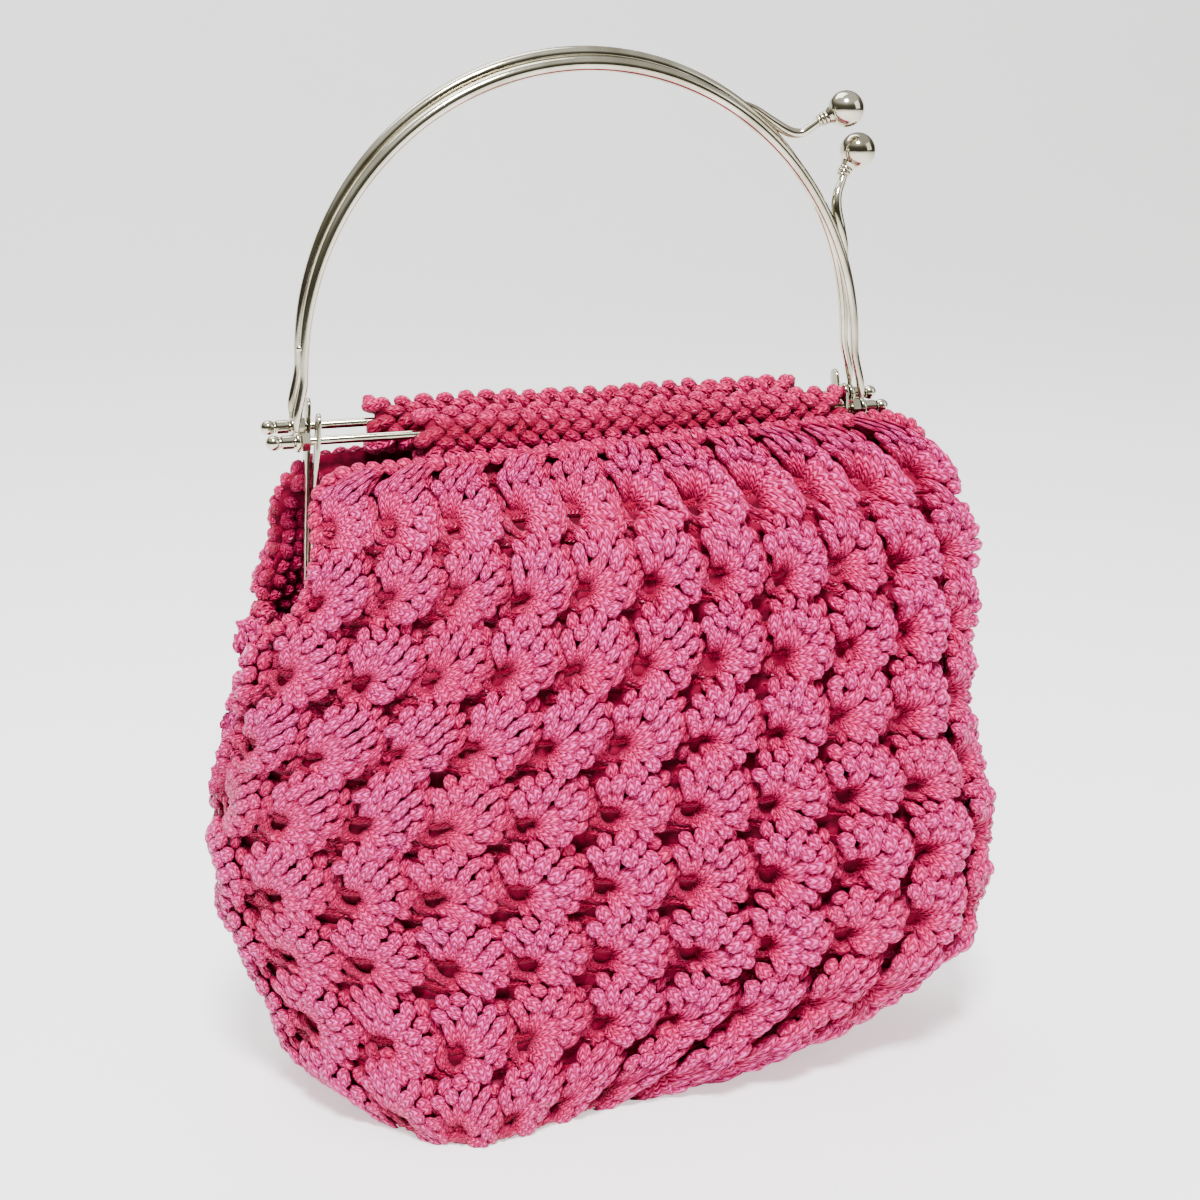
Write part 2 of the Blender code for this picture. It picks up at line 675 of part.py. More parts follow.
def metal_frame(collection, cutters, metal):
    """Hoops, rods, legs and the small pieces on the rods' ends."""
    hoop("front_hoop", -1, FRONT_FINGER, collection, cutters, metal)
    hoop("back_hoop", 1, BACK_FINGER, collection, cutters, metal)
    hexagon = circle_points(NUT_ACROSS / 2 / math.cos(math.pi / 6), 6, start=math.pi / 6)
    round_outline = circle_points(COLLAR_DIAMETER / 2)
    for row, face in ((-1, "front"), (1, "back")):
        rod(f"{face}_rod", row, collection, metal)
        for side, word in ((-1, "left"), (1, "right")):
            name = f"{word}_{face}"
            nut_inner = NUT_OUTER - NUT_LENGTH
            ring_piece(name + "_hex_nut", hexagon, NUT_LENGTH, nut_inner, side, row, collection, metal)
            ring_piece(
                name + "_collar", round_outline, COLLAR_LENGTH, COLLAR_INNER, side, row, collection, metal
            )
            ball_nut(name + "_ball_nut", side, row, collection, metal)
            leg(name + "_leg", side, row, collection, cutters, metal)
    for side, word in ((-1, "left"), (1, "right")):
        hinge_pin(f"{word}_hinge_pin", side, collection, metal)


def stand_on_origin(collection, cutters):
    """Moves everything so that the middle of the model's outline stands on the origin."""
    bpy.context.view_layer.update()
    graph = bpy.context.evaluated_depsgraph_get()
    corners = []
    for item in collection.objects:
        solid = item.evaluated_get(graph)
        corners += [solid.matrix_world @ Vector(corner) for corner in solid.bound_box]
    lowest = Vector([min(corner[axis] for corner in corners) for axis in range(3)])
    highest = Vector([max(corner[axis] for corner in corners) for axis in range(3)])
    middle = (lowest + highest) / 2
    shift = Vector((-middle.x, -middle.y, -lowest.z))
    for item in list(collection.objects) + list(cutters.objects):
        item.matrix_world = Matrix.Translation(shift) @ item.matrix_world


def main():
    """Builds the whole handbag and stands it on the origin."""
    clear_scene()
    bag = new_collection("handbag")
    cutters = new_collection("cutters", parts=False)
    yarn = finish("pink_yarn", (0.75, 0.11, 0.30), 0.6, 0.0)
    metal = finish("polished_nickel", (0.72, 0.70, 0.64), 0.15, 1.0)
    crochet_body(bag, yarn)
    front_left = CASING_END_LIMIT - CASING_LENGTH
    back_left = BACK_CASING_SHIFT - CASING_LENGTH / 2
    casing("front_casing", -1, front_left, bag, cutters, yarn)
    casing("back_casing", 1, back_left, bag, cutters, yarn)
    metal_frame(bag, cutters, metal)
    stand_on_origin(bag, cutters)


main()
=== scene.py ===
"""Looks of the crocheted handbag with a double hoop handle.

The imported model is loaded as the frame. Every soft solid is replaced by real crochet: strands of knitted
cord, laid in shells over the body and in plain rows over the casings. Every metal solid is replaced by a
smooth piece in polished nickel. Metres, +Z up, the front faces -Y.
"""

import logging
import math
from collections.abc import Iterable
from dataclasses import dataclass, field
from enum import Enum

import bmesh
import bpy
import numpy as np
from mathutils import Matrix, Vector


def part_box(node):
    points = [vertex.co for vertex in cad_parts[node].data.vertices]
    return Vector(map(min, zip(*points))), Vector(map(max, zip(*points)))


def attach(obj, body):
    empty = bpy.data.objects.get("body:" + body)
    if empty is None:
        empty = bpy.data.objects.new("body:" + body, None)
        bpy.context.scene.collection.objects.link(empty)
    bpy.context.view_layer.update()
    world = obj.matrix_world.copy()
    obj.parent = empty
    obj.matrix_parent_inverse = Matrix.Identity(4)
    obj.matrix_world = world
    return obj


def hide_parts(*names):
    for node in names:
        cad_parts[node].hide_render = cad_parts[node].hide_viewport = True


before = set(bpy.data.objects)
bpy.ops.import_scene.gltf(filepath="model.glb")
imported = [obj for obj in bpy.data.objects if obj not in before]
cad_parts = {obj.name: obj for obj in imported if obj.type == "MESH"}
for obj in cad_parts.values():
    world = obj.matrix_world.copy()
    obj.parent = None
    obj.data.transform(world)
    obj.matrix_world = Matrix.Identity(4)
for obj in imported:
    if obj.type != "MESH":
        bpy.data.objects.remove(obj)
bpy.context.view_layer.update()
LOG = logging.getLogger("handbag")
Colour = tuple[float, float, float]


class Face(Enum):
    """The two panels of the bag, and the frame halves that carry them."""

    FRONT = -1
    BACK = 1


class Side(Enum):
    """The two ends of the rods."""

    LEFT = -1
    RIGHT = 1


class Band(Enum):
    """Parts of a panel that shells are laid on: all of it, its columns, or the wedges beside them."""

    WHOLE = "whole"
    COLUMNS = "columns"
    LEFT_WEDGE = "left_wedge"
    RIGHT_WEDGE = "right_wedge"


class Slot(Enum):
    """The two material slots, yarn and metal."""

    YARN = "yarn"
    METAL = "metal"


# Finishes


@dataclass
class Shader:
    """Builds one material's nodes."""

    name: str
    material: bpy.types.Material = field(init=False)

    def __post_init__(self) -> None:
        """Makes the material with a Principled shader."""
        self.material = bpy.data.materials.new(self.name)
        self.material.use_nodes = True
        self.nodes = self.material.node_tree.nodes
        self.links = self.material.node_tree.links
        self.principled = self.nodes["Principled BSDF"]

    def set(self, **values: object) -> None:
        """Sets the Principled sockets by name.

        Args:
            values: Socket names with _ for spaces, and their values.
        """
        for key, value in values.items():
            self.principled.inputs[key.replace("_", " ")].default_value = value

    def feed(self, source: object, target: bpy.types.NodeSocket) -> None:
        """Links a socket, or sets a plain value, into a socket.

        Args:
            source: A socket, a number or a colour.
            target: The socket that takes it.
        """
        if isinstance(source, bpy.types.NodeSocket):
            self.links.new(source, target)
        else:
            target.default_value = source

    def math(self, operation: str, first: object, second: object = 0.0) -> bpy.types.NodeSocket:
        """One Math node.

        Args:
            operation: The node's operation.
            first: First value or socket.
            second: Second value or socket.

        Returns:
            The node's output.
        """
        node = self.nodes.new("ShaderNodeMath")
        node.operation = operation
        self.feed(first, node.inputs[0])
        self.feed(second, node.inputs[1])
        return node.outputs[0]

    def blend(self, factor: object, first: object, second: object) -> bpy.types.NodeSocket:
        """Mixes two colours.

        Args:
            factor: Share of the second colour.
            first: First colour or socket.
            second: Second colour or socket.

        Returns:
            The mixed colour.
        """
        node = self.nodes.new("ShaderNodeMix")
        node.data_type = "RGBA"
        self.feed(factor, node.inputs[0])
        self.feed(first, node.inputs[6])
        self.feed(second, node.inputs[7])
        return node.outputs[2]

    def ramp(self, factor: object, stops: tuple[tuple[float, Colour], ...]) -> bpy.types.NodeSocket:
        """A colour ramp.

        Args:
            factor: The value that is read.
            stops: Positions and colours.

        Returns:
            The colour.
        """
        node = self.nodes.new("ShaderNodeValToRGB")
        self.feed(factor, node.inputs[0])
        points = node.color_ramp.elements
        while len(points) < len(stops):
            points.new(0.5)
        for point, (place, colour) in zip(points, stops):
            point.position = place
            point.color = (*colour, 1.0)
        return node.outputs[0]

    def coordinates(self, stretch: tuple[float, float, float] = (1, 1, 1)) -> bpy.types.NodeSocket:
        """Object coordinates, scaled.

        Args:
            stretch: Scale along each axis.

        Returns:
            The coordinates.
        """
        place = self.nodes.new("ShaderNodeTexCoord")
        mapping = self.nodes.new("ShaderNodeMapping")
        mapping.inputs["Scale"].default_value = stretch
        self.links.new(place.outputs["Object"], mapping.inputs["Vector"])
        return mapping.outputs[0]

    def noise(self, vector: object, scale: float, detail: float = 2.0) -> bpy.types.NodeSocket:
        """A noise texture.

        Args:
            vector: Coordinates.
            scale: Features per metre.
            detail: Octaves.

        Returns:
            The noise value.
        """
        node = self.nodes.new("ShaderNodeTexNoise")
        node.inputs["Scale"].default_value = scale
        node.inputs["Detail"].default_value = detail
        self.links.new(vector, node.inputs["Vector"])
        return node.outputs[0]

    def attribute(self, name: str) -> bpy.types.NodeSocket:
        """Reads a number that is stored on the piece's points.

        Args:
            name: The attribute's name.

        Returns:
            Its value.
        """
        node = self.nodes.new("ShaderNodeAttribute")
        node.attribute_name = name
        return node.outputs["Fac"]

    def bump(self, height: object, strength: float, distance: float) -> None:
        """Adds a bump to the surface.

        Args:
            height: The height socket.
            strength: Share of the effect.
            distance: Height in metres.
        """
        node = self.nodes.new("ShaderNodeBump")
        node.inputs["Strength"].default_value = strength
        node.inputs["Distance"].default_value = distance
        self.feed(height, node.inputs["Height"])
        self.links.new(node.outputs[0], self.principled.inputs["Normal"])


@dataclass(frozen=True)
class KnittedCord:
    """Shiny knitted cord in pink. Its colour carries painted shade in crimson on its low strands and between
    its stitches, and a paler painted highlight on its highest strands.
    """

    name: str = "pink_knitted_cord"
    wales: float = 7.0
    # The deep colour and the groove colour are painted shade, in the depths and between the stitches; the
    # high colour is a painted highlight on the highest strands; the middle colour is the yarn's own pink.
    deep: Colour = (0.24, 0.001, 0.018)
    middle: Colour = (0.95, 0.020, 0.230)
    high: Colour = (1.00, 0.085, 0.500)
    groove_shade: Colour = (0.32, 0.000, 0.032)
    knit_depth: float = 0.0012
    slant: float = 1.3
    gap_share: float = 0.9
    patch_scale: float = 60.0
    patch_strength: float = 0.35
    groove_power: float = 0.64
    bump_share: float = 0.8

    def material(self) -> bpy.types.Material:
        """The cord's material: rows of small V stitches along the cord, with painted shade between them, and
        a tone from painted shade on low strands to a painted highlight on high ones.

        Returns:
            The material.
        """
        shader = Shader(self.name)
        layer = shader.nodes.new("ShaderNodeUVMap")
        layer.uv_map = "cord"
        split = shader.nodes.new("ShaderNodeSeparateXYZ")
        shader.links.new(layer.outputs[0], split.inputs[0])
        wale = shader.math("FRACT", shader.math("MULTIPLY", split.outputs[0], self.wales))
        across = shader.math("ABSOLUTE", shader.math("SUBTRACT", wale, 0.5))
        slanted = shader.math("ADD", split.outputs[1], shader.math("MULTIPLY", across, self.slant))
        along = shader.math("ABSOLUTE", shader.math("SUBTRACT", shader.math("FRACT", slanted), 0.5))
        ridge = shader.math("COSINE", shader.math("MULTIPLY", along, math.pi))
        gap = shader.math("COSINE", shader.math("MULTIPLY", across, math.pi * self.gap_share))
        knit = shader.math("MULTIPLY", ridge, gap)
        lift = shader.attribute("lift")
        patches = shader.math("SUBTRACT", shader.noise(shader.coordinates(), self.patch_scale), 0.5)
        level = shader.math("ADD", lift, shader.math("MULTIPLY", patches, self.patch_strength))
        # Painted shade and highlight: the stored height picks painted shade on low strands, the yarn's pink
        # in between and a painted highlight on the highest; the patches add tone that differs at random.
        tone = shader.ramp(level, ((0.12, self.deep), (0.60, self.middle), (1.0, self.high)))
        # Painted shade in the gaps between the knit stitches.
        share = shader.math("POWER", shader.math("SUBTRACT", 1.0, knit), self.groove_power)
        shader.feed(shader.blend(share, tone, (*self.groove_shade, 1.0)), shader.principled.inputs["Base Color"])
        shader.bump(knit, self.bump_share, self.knit_depth)
        shader.set(
            Roughness=0.38, Specular_IOR_Level=0.34, Specular_Tint=(1.0, 0.62, 0.92, 1.0),
            Sheen_Weight=0.06, Sheen_Roughness=0.4, Sheen_Tint=(1.0, 0.45, 0.85, 1.0),
        )
        return shader.material


@dataclass(frozen=True)
class ShadeBacking:
    """The inner side of the crochet, seen between the shells, painted dark as the shade in the holes."""

    name: str = "shade_dark_backing"
    stitches: float = 190.0
    # Both tones are far darker than the yarn: painted shade; the waves between them are the rows of stitches.
    dark: Colour = (0.035, 0.000, 0.004)
    light: Colour = (0.20, 0.002, 0.026)
    relief: float = 0.001

    def material(self) -> bpy.types.Material:
        """A knitted backing with rows of plain stitches, painted in dark crimson as the shade in the holes.

        Returns:
            The material.
        """
        shader = Shader(self.name)
        place = shader.coordinates()
        rows = shader.nodes.new("ShaderNodeTexWave")
        rows.bands_direction = "Z"
        rows.inputs["Scale"].default_value = self.stitches / 6
        rows.inputs["Distortion"].default_value = 3.0
        rows.inputs["Detail Scale"].default_value = 4.0
        shader.links.new(place, rows.inputs["Vector"])
        grain = shader.noise(place, self.stitches * 2)
        height = shader.math("ADD", rows.outputs["Fac"], shader.math("MULTIPLY", grain, 0.5))
        tone = shader.ramp(height, ((0.1, self.dark), (1.0, self.light)))
        shader.feed(tone, shader.principled.inputs["Base Color"])
        shader.bump(height, 0.8, self.relief)
        shader.set(Roughness=0.85, Specular_IOR_Level=0.08)
        return shader.material


@dataclass(frozen=True)
class PolishedNickel:
    """Bright nickel plate with fine rubbed marks and a little dulling."""

    name: str = "polished_nickel_plate"
    colour: Colour = (0.60, 0.57, 0.45)
    worn: Colour = (0.36, 0.33, 0.24)
    cloud_scale: float = 36.0
    rub_scale: float = 1800.0
    rub_depth: float = 0.0001
    gloss: float = 0.08
    dulling: float = 0.08

    def material(self) -> bpy.types.Material:
        """The plate's material.

        Returns:
            The material.
        """
        shader = Shader(self.name)
        place = shader.coordinates()
        cloud = shader.noise(place, self.cloud_scale, 3.0)
        fine = shader.noise(shader.coordinates((1, 1, 0.1)), self.rub_scale, 3.0)
        tone = shader.ramp(cloud, ((0.35, self.worn), (0.55, self.colour)))
        shader.feed(tone, shader.principled.inputs["Base Color"])
        rough = shader.math("ADD", self.gloss, shader.math("MULTIPLY", cloud, self.dulling))
        shader.feed(rough, shader.principled.inputs["Roughness"])
        shader.bump(fine, 0.05, self.rub_depth)
        shader.set(Metallic=1.0)
        return shader.material


@dataclass(frozen=True)
class PalePaper:
    """The studio's pale sweep."""

    name: str = "pale_paper"
    shade: Colour = (0.86, 0.855, 0.85)
    light: Colour = (0.90, 0.895, 0.89)
    glow: float = 0.80

    def material(self) -> bpy.types.Material:
        """A matt pale surface with a faint grain.

        Returns:
            The material.
        """
        shader = Shader(self.name)
        grain = shader.noise(shader.coordinates(), 8.0, 3.0)
        tone = shader.ramp(grain, ((0.0, self.shade), (1.0, self.light)))
        shader.feed(tone, shader.principled.inputs["Base Color"])
        shader.set(Roughness=0.85, Emission_Color=(1.0, 0.995, 0.99, 1.0), Emission_Strength=self.glow)
        return shader.material


# Mesh helpers


def smooth_step(value: np.ndarray | float) -> np.ndarray | float:
    """Eases from 0 to 1."""
    value = np.clip(value, 0.0, 1.0)
    return value * value * (3 - 2 * value)


def standing(place: Vector, way: Vector) -> Matrix:
    """A matrix that turns local Z to a direction and moves to a place.

    Args:
        place: Where it stands.
        way: The direction.

    Returns:
        The matrix.
    """
    return Matrix.Translation(place) @ Vector((0, 0, 1)).rotation_difference(way).to_matrix().to_4x4()


def unit(rows: np.ndarray) -> np.ndarray:
    """Scales each row to length 1.

    Args:
        rows: The vectors, one a row.

    Returns:
        The scaled vectors.
    """
    return rows / np.maximum(np.linalg.norm(rows, axis=1, keepdims=True), 1e-12)


def end_rims(edges: Iterable[bmesh.types.BMEdge]) -> list[bmesh.types.BMEdge]:
    """The edges round many-sided end faces."""
    return [edge for edge in edges if any(len(face.verts) > 4 for face in edge.link_faces)]


def ring_profile(radius: float, bore: float, half: float, edge: float) -> list[tuple[float, float]]:
    """The profile of a ring with eased rims.

    Args:
        radius: Outer radius.
        bore: Radius of the bore.
        half: Half of its length.
        edge: Width of the eased rims.

    Returns:
        Radius and height of each point.
    """
    rim = [(bore, half), (radius - edge, half), (radius, half - edge)]
    return rim + [(across, -height) for across, height in reversed(rim)] + [(bore, half)]


def read_places(mesh: bpy.types.Mesh) -> np.ndarray:
    """Reads a mesh's points.

    Args:
        mesh: The mesh.

    Returns:
        One point a row.
    """
    places = np.empty(len(mesh.vertices) * 3)
    mesh.vertices.foreach_get("co", places)
    return places.reshape(-1, 3)


def resample(points: np.ndarray, count: int) -> np.ndarray:
    """Spaces a path's points evenly.

    Args:
        points: The path, one point a row.
        count: How many points it gets.

    Returns:
        The new path.
    """
    run = np.concatenate([[0], np.cumsum(np.linalg.norm(np.diff(points, axis=0), axis=1))])
    spots = np.linspace(0, run[-1], count)
    return np.column_stack([np.interp(spots, run, points[:, axis]) for axis in range(points.shape[1])])


def curved(points: list[tuple[float, float, float]] | np.ndarray, count: int) -> np.ndarray:
    """A smooth path through a few points.

    Args:
        points: The points that it passes.
        count: How many points it gets.

    Returns:
        The path.
    """
    points = np.asarray(points, float)
    knots = np.arange(len(points))
    slopes = np.gradient(points, axis=0)
    spots = np.linspace(0, len(points) - 1, count * 4)
    cell = np.clip(spots.astype(int), 0, len(points) - 2)
    t = (spots - knots[cell])[:, None]
    start = (2 * t**3 - 3 * t**2 + 1) * points[cell] + (t**3 - 2 * t**2 + t) * slopes[cell]
    end = (3 * t**2 - 2 * t**3) * points[cell + 1] + (t**3 - t**2) * slopes[cell + 1]
    return resample(start + end, count)


def carried_frames(path: np.ndarray, first: np.ndarray) -> tuple[np.ndarray, np.ndarray]:
    """Two directions across a path at each of its points, carried along it without twist.

    Args:
        path: The path's points.
        first: A direction that is roughly across the path's start.

    Returns:
        Both directions at each point.
    """
    along = unit(np.gradient(path, axis=0))
    across = np.zeros_like(path)
    current = np.asarray(first, float)
    for index, direction in enumerate(along):
        current = current - direction * np.dot(current, direction)
        current /= max(np.linalg.norm(current), 1e-9)
        across[index] = current
    return across, np.cross(along, across)


@dataclass(frozen=True)
class StitchHead:
    """The fat head of one crochet stitch; its looseness is in degrees."""

    radius: float = 0.0030
    half_length: float = 0.0032
    arch: float = 0.0010
    loose: float = 28.0
    points: int = 6
    sides: int = 7
    tilt: float = 0.12
    uneven_length: float = 0.08
    uneven_radius: float = 0.06
    uneven_height: float = 0.14
    fullness: float = 0.92
    tip: float = 0.35


@dataclass
class Maker:
    """Collects tubes and turned shapes in one bmesh, then makes a piece of them."""

    name: str
    bm: bmesh.types.BMesh = field(default_factory=bmesh.new)
    column: int = 0
    offset: tuple[float, float, float] = (0.0, 0.0, 0.0)

    def __post_init__(self) -> None:
        """Adds the cord's UV layer, and one for the column that a strand belongs to."""
        self.uv = self.bm.loops.layers.uv.new("cord")
        self.columns = self.bm.verts.layers.int.new("column")

    def tube(
        self, path: np.ndarray, radius: float | np.ndarray, sides: int = 6, closed: bool = False,
        pitch: float = 0.0019, up: tuple[float, float, float] = (0.0, 0.0, 1.0), tip: float = 0.6,
    ) -> None:
        """Lays a round strand along a path, with rounded ends.

        Args:
            path: The centre line.
            radius: One radius, or one for each point.
            sides: Faces around it.
            closed: Whether the path comes back to its start.
            pitch: Length of one knit stitch on it, in metres.
            up: A direction roughly across its start.
            tip: How far the ends are rounded off, in radii.
        """
        path = path + np.array(self.offset)
        radii = np.broadcast_to(np.asarray(radius, float), (len(path),)).copy()
        if closed:
            path = np.vstack([path, path[:1]])
            radii = np.append(radii, radii[0])
        else:
            leads = [path[0] - path[1], path[-1] - path[-2]]
            leads = [lead / max(np.linalg.norm(lead), 1e-9) for lead in leads]
            first, last = path[0] + leads[0] * radii[0] * tip, path[-1] + leads[1] * radii[-1] * tip
            path = np.vstack([first, path, last])
            radii = np.concatenate([[0.0], radii, [0.0]])
        one, two = carried_frames(path, np.asarray(up, float))
        if closed:
            turn = math.atan2(np.dot(one[-1], two[0]), np.dot(one[-1], one[0]))
            angles = np.linspace(0, turn, len(path))[:, None]
            cos, sin = np.cos(angles), np.sin(angles)
            one, two = one * cos - two * sin, two * cos + one * sin
        run = np.concatenate([[0], np.cumsum(np.linalg.norm(np.diff(path, axis=0), axis=1))])
        steps = len(path) - 1
        turns = -2 * np.pi * np.arange(sides + 1) / sides
        ring = one[:, None] * np.cos(turns)[None, :, None] + two[:, None] * np.sin(turns)[None, :, None]
        places = path[:, None] + ring * radii[:, None, None]
        if closed:
            places[-1] = places[0]
        made = bmesh.ops.create_grid(
            self.bm, x_segments=sides, y_segments=steps, size=0.5, calc_uvs=True
        )["verts"]
        faces = {face for vert in made for face in vert.link_faces}
        for face in faces:
            for loop in face.loops:
                across, along = loop.vert.co.x + 0.5, loop.vert.co.y + 0.5
                loop[self.uv].uv = (across, run[round(along * steps)] / pitch)
        for vert in made:
            vert[self.columns] = self.column
            vert.co = places[round((vert.co.y + 0.5) * steps), round((vert.co.x + 0.5) * sides)]
        bmesh.ops.remove_doubles(self.bm, verts=made, dist=1e-7)

    def chain_round(
        self, path: np.ndarray, ups: np.ndarray, period: float, spread: float, rise: float, radius: float,
        hand: int, steps: int = 5,
    ) -> None:
        """Lays two strands that cross like the loops of a crocheted chain, in a closed round.

        Args:
            path: The chain's centre line, which ends where it starts.
            ups: Outward direction at each of its points.
            period: Length of one stitch.
            spread: How far the strands swing sideways.
            rise: How far they swing outwards.
            radius: The strands' radius.
            hand: 1 or -1, for the way that the stitches lean.
            steps: Points for each stitch.
        """
        length = float(np.linalg.norm(np.diff(path, axis=0), axis=1).sum())
        count = max(round(length / period), 1)
        both = resample(np.hstack([path, ups]), count * steps + 1)
        centre, out = both[:, :3], unit(both[:, 3:])
        side = unit(np.cross(np.gradient(centre, axis=0), out))
        turns = 2 * np.pi * np.linspace(0, count, len(centre))
        for strand in (0.0, math.pi):
            swing = np.sin(turns + strand)[:, None] * spread * hand
            lift = np.cos(turns + strand)[:, None] * rise
            line = centre + side * swing + out * lift
            self.tube(line[:-1], radius, closed=True, up=tuple(out[0]))

    def heads(
        self, path: np.ndarray, ups: np.ndarray, head: StitchHead, spacing: float, lean: float,
        rng: np.random.Generator,
    ) -> None:
        """Lays the fat heads of crochet stitches one after the other.

        Args:
            path: The row's centre line.
            ups: Outward direction at each of its points.
            head: The size and the looseness of a head.
            spacing: Distance from one head to the next.
            lean: How far they turn away from the row, in degrees.
            rng: Where their differences come from.
        """
        length = float(np.linalg.norm(np.diff(path, axis=0), axis=1).sum())
        count = max(round(length / spacing), 1)
        both = resample(np.hstack([path, ups]), 2 * count + 1)
        runs = np.gradient(both[:, :3], axis=0)[1::2]
        spots = np.linspace(-1, 1, head.points)[:, None]
        for place, run in zip(both[1::2], runs):
            centre, out = place[:3], place[3:] / np.linalg.norm(place[3:])
            run = run / np.linalg.norm(run)
            turn = math.radians(lean + rng.normal(0, head.loose))
            axis = run * math.cos(turn) + np.cross(run, out) * math.sin(turn)
            axis = axis + out * rng.normal(0, head.tilt)
            half = head.half_length * (1 + rng.normal(0, head.uneven_length))
            radius = head.radius * (1 + rng.normal(0, head.uneven_radius))
            centre = centre + out * rng.normal(0, head.radius * head.uneven_height)
            line = centre + axis * spots * half + out * (1 - spots**2) * head.arch
            radii = radius * np.sqrt(1 - (head.fullness * spots[:, 0]) ** 2)
            self.tube(line, radii, sides=head.sides, up=tuple(out), tip=head.tip)

    def bar(self, start: Vector, end: Vector, radius: float, sides: int = 32, bevel: float = 0.0) -> None:
        """A closed round bar between two points, with rounded rims.

        Args:
            start: Middle of its first end.
            end: Middle of its other end.
            radius: Its radius.
            sides: Faces around it.
            bevel: Width of the rounded rims.
        """
        axis = Vector(end) - Vector(start)
        made = bmesh.ops.create_cone(
            self.bm, cap_ends=True, segments=sides, radius1=radius, radius2=radius, depth=axis.length,
            matrix=standing((Vector(start) + Vector(end)) / 2, axis),
        )["verts"]
        if bevel:
            rims = end_rims({edge for vert in made for edge in vert.link_edges})
            bmesh.ops.bevel(
                self.bm, geom=rims, offset=bevel, segments=3, affect="EDGES", profile=0.5, material=-1
            )

    def ball(self, centre: Vector, radius: float, sides: int = 32) -> None:
        """A closed ball.

        Args:
            centre: Its centre.
            radius: Its radius.
            sides: Faces around it.
        """
        bmesh.ops.create_uvsphere(
            self.bm, u_segments=sides, v_segments=sides // 2, radius=radius, matrix=Matrix.Translation(centre)
        )

    def turned(self, profile: list[tuple[float, float]], place: Matrix, steps: int = 40) -> None:
        """Spins a profile about local Z.

        Args:
            profile: Radius and height of each point, down the outer side.
            place: Where local Z stands.
            steps: Faces around it.
        """
        verts = [self.bm.verts.new((radius, 0.0, height)) for radius, height in profile]
        edges = [self.bm.edges.new(pair) for pair in zip(verts, verts[1:])]
        before = set(self.bm.verts) - set(verts)
        bmesh.ops.spin(
            self.bm, geom=verts + edges, cent=(0, 0, 0), axis=(0, 0, 1), angle=2 * math.pi, steps=steps,
            use_merge=True,
        )
        made = [vert for vert in self.bm.verts if vert not in before]
        bmesh.ops.remove_doubles(self.bm, verts=made, dist=1e-7)
        made = [vert for vert in self.bm.verts if vert not in before]
        faces = list({face for vert in made for face in vert.link_faces})
        bmesh.ops.recalc_face_normals(self.bm, faces=faces)
        bmesh.ops.transform(self.bm, matrix=place, verts=made)

    def mesh(self) -> bpy.types.Mesh:
        """Makes a smooth shaded mesh and frees the bmesh.

        Returns:
            The mesh.
        """
        made = bpy.data.meshes.new(self.name)
        self.bm.to_mesh(made)
        self.bm.free()
        made.shade_smooth()
        return made


def set_lift(mesh: bpy.types.Mesh, values: np.ndarray | float) -> None:
    """Stores how far out each point of a yarn piece lies, from 0 in the depths to 1; the cord's material
    paints shade on low values and a highlight on high values.

    Args:
        mesh: The piece's mesh.
        values: One value, or one for each point.
    """
    lift = mesh.attributes.get("lift") or mesh.attributes.new("lift", "FLOAT", "POINT")
    lift.data.foreach_set("value", np.broadcast_to(values, (len(mesh.vertices),)).astype(np.float32))


def add_piece(
    mesh: bpy.types.Mesh, material: bpy.types.Material, replaced: str
) -> bpy.types.Object:
    """Links a finished mesh as a piece that rides on the bag.

    Args:
        mesh: The mesh, which gives the piece its name.
        material: Its material.
        replaced: The CAD node that it stands for.

    Returns:
        The piece.
    """
    piece = bpy.data.objects.new(mesh.name, mesh)
    bpy.context.scene.collection.objects.link(piece)
    mesh.materials.clear()
    mesh.materials.append(material)
    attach(piece, "root")
    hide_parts(replaced)
    LOG.info("%s: %d faces", mesh.name, len(mesh.polygons))
    return piece


# Shape of the frame


@dataclass(frozen=True)
class FrameSizes:
    """Sizes that the metal frame and the bag share, as in the part's source."""

    gap: float = 0.0003
    rod_height: float = 0.260
    rod_radius: float = 0.0016
    rod_spacing: float = 0.011
    back_rise: float = 0.0035
    hoop_radius: float = 0.108
    hoop_leg: float = 0.024
    hoop_flare: float = 0.0034
    hoop_top: float = 0.0054
    hoop_foot: float = 0.0032
    eye_radius: float = 0.0038
    eye_thickness: float = 0.0016
    leg_thickness: float = 0.0012
    leg_width: float = 0.007
    leg_length: float = 0.064
    leg_above: float = 0.010
    nut_across: float = 0.0064
    nut_length: float = 0.0033
    leg_splay: float = 0.005

    @property
    def eye_middle(self) -> float:
        """Distance of the hoops' eyes from the middle of the frame."""
        return self.hoop_radius - self.hoop_foot / 2 + self.hoop_flare

    @property
    def leg_middle(self) -> float:
        """Distance of the pair of legs from the middle of the frame, at the rods.

        Returns:
            The distance.
        """
        nut_outer = self.eye_middle - self.eye_thickness / 2 - self.gap
        room = self.leg_width / 2 * self.leg_splay / self.leg_length
        return nut_outer - self.nut_length - self.gap - room - self.leg_stack / 2

    @property
    def leg_stack(self) -> float:
        """Thickness of the two legs of one side."""
        return 2 * self.leg_thickness + self.gap

    @property
    def shift(self) -> Vector:
        """How far the frame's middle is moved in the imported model."""
        low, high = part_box("front_rod")
        return (low + high) / 2 - Vector((0, -self.rod_spacing / 2, self.rod_height))

    def rod(self, face: Face) -> tuple[float, float]:
        """Y and Z of one rod, before the shift."""
        rise = self.back_rise if face is Face.BACK else 0
        return face.value * self.rod_spacing / 2, self.rod_height + rise


SIZES = FrameSizes()
SHIFT = np.array(SIZES.shift)


# Shape of the bag


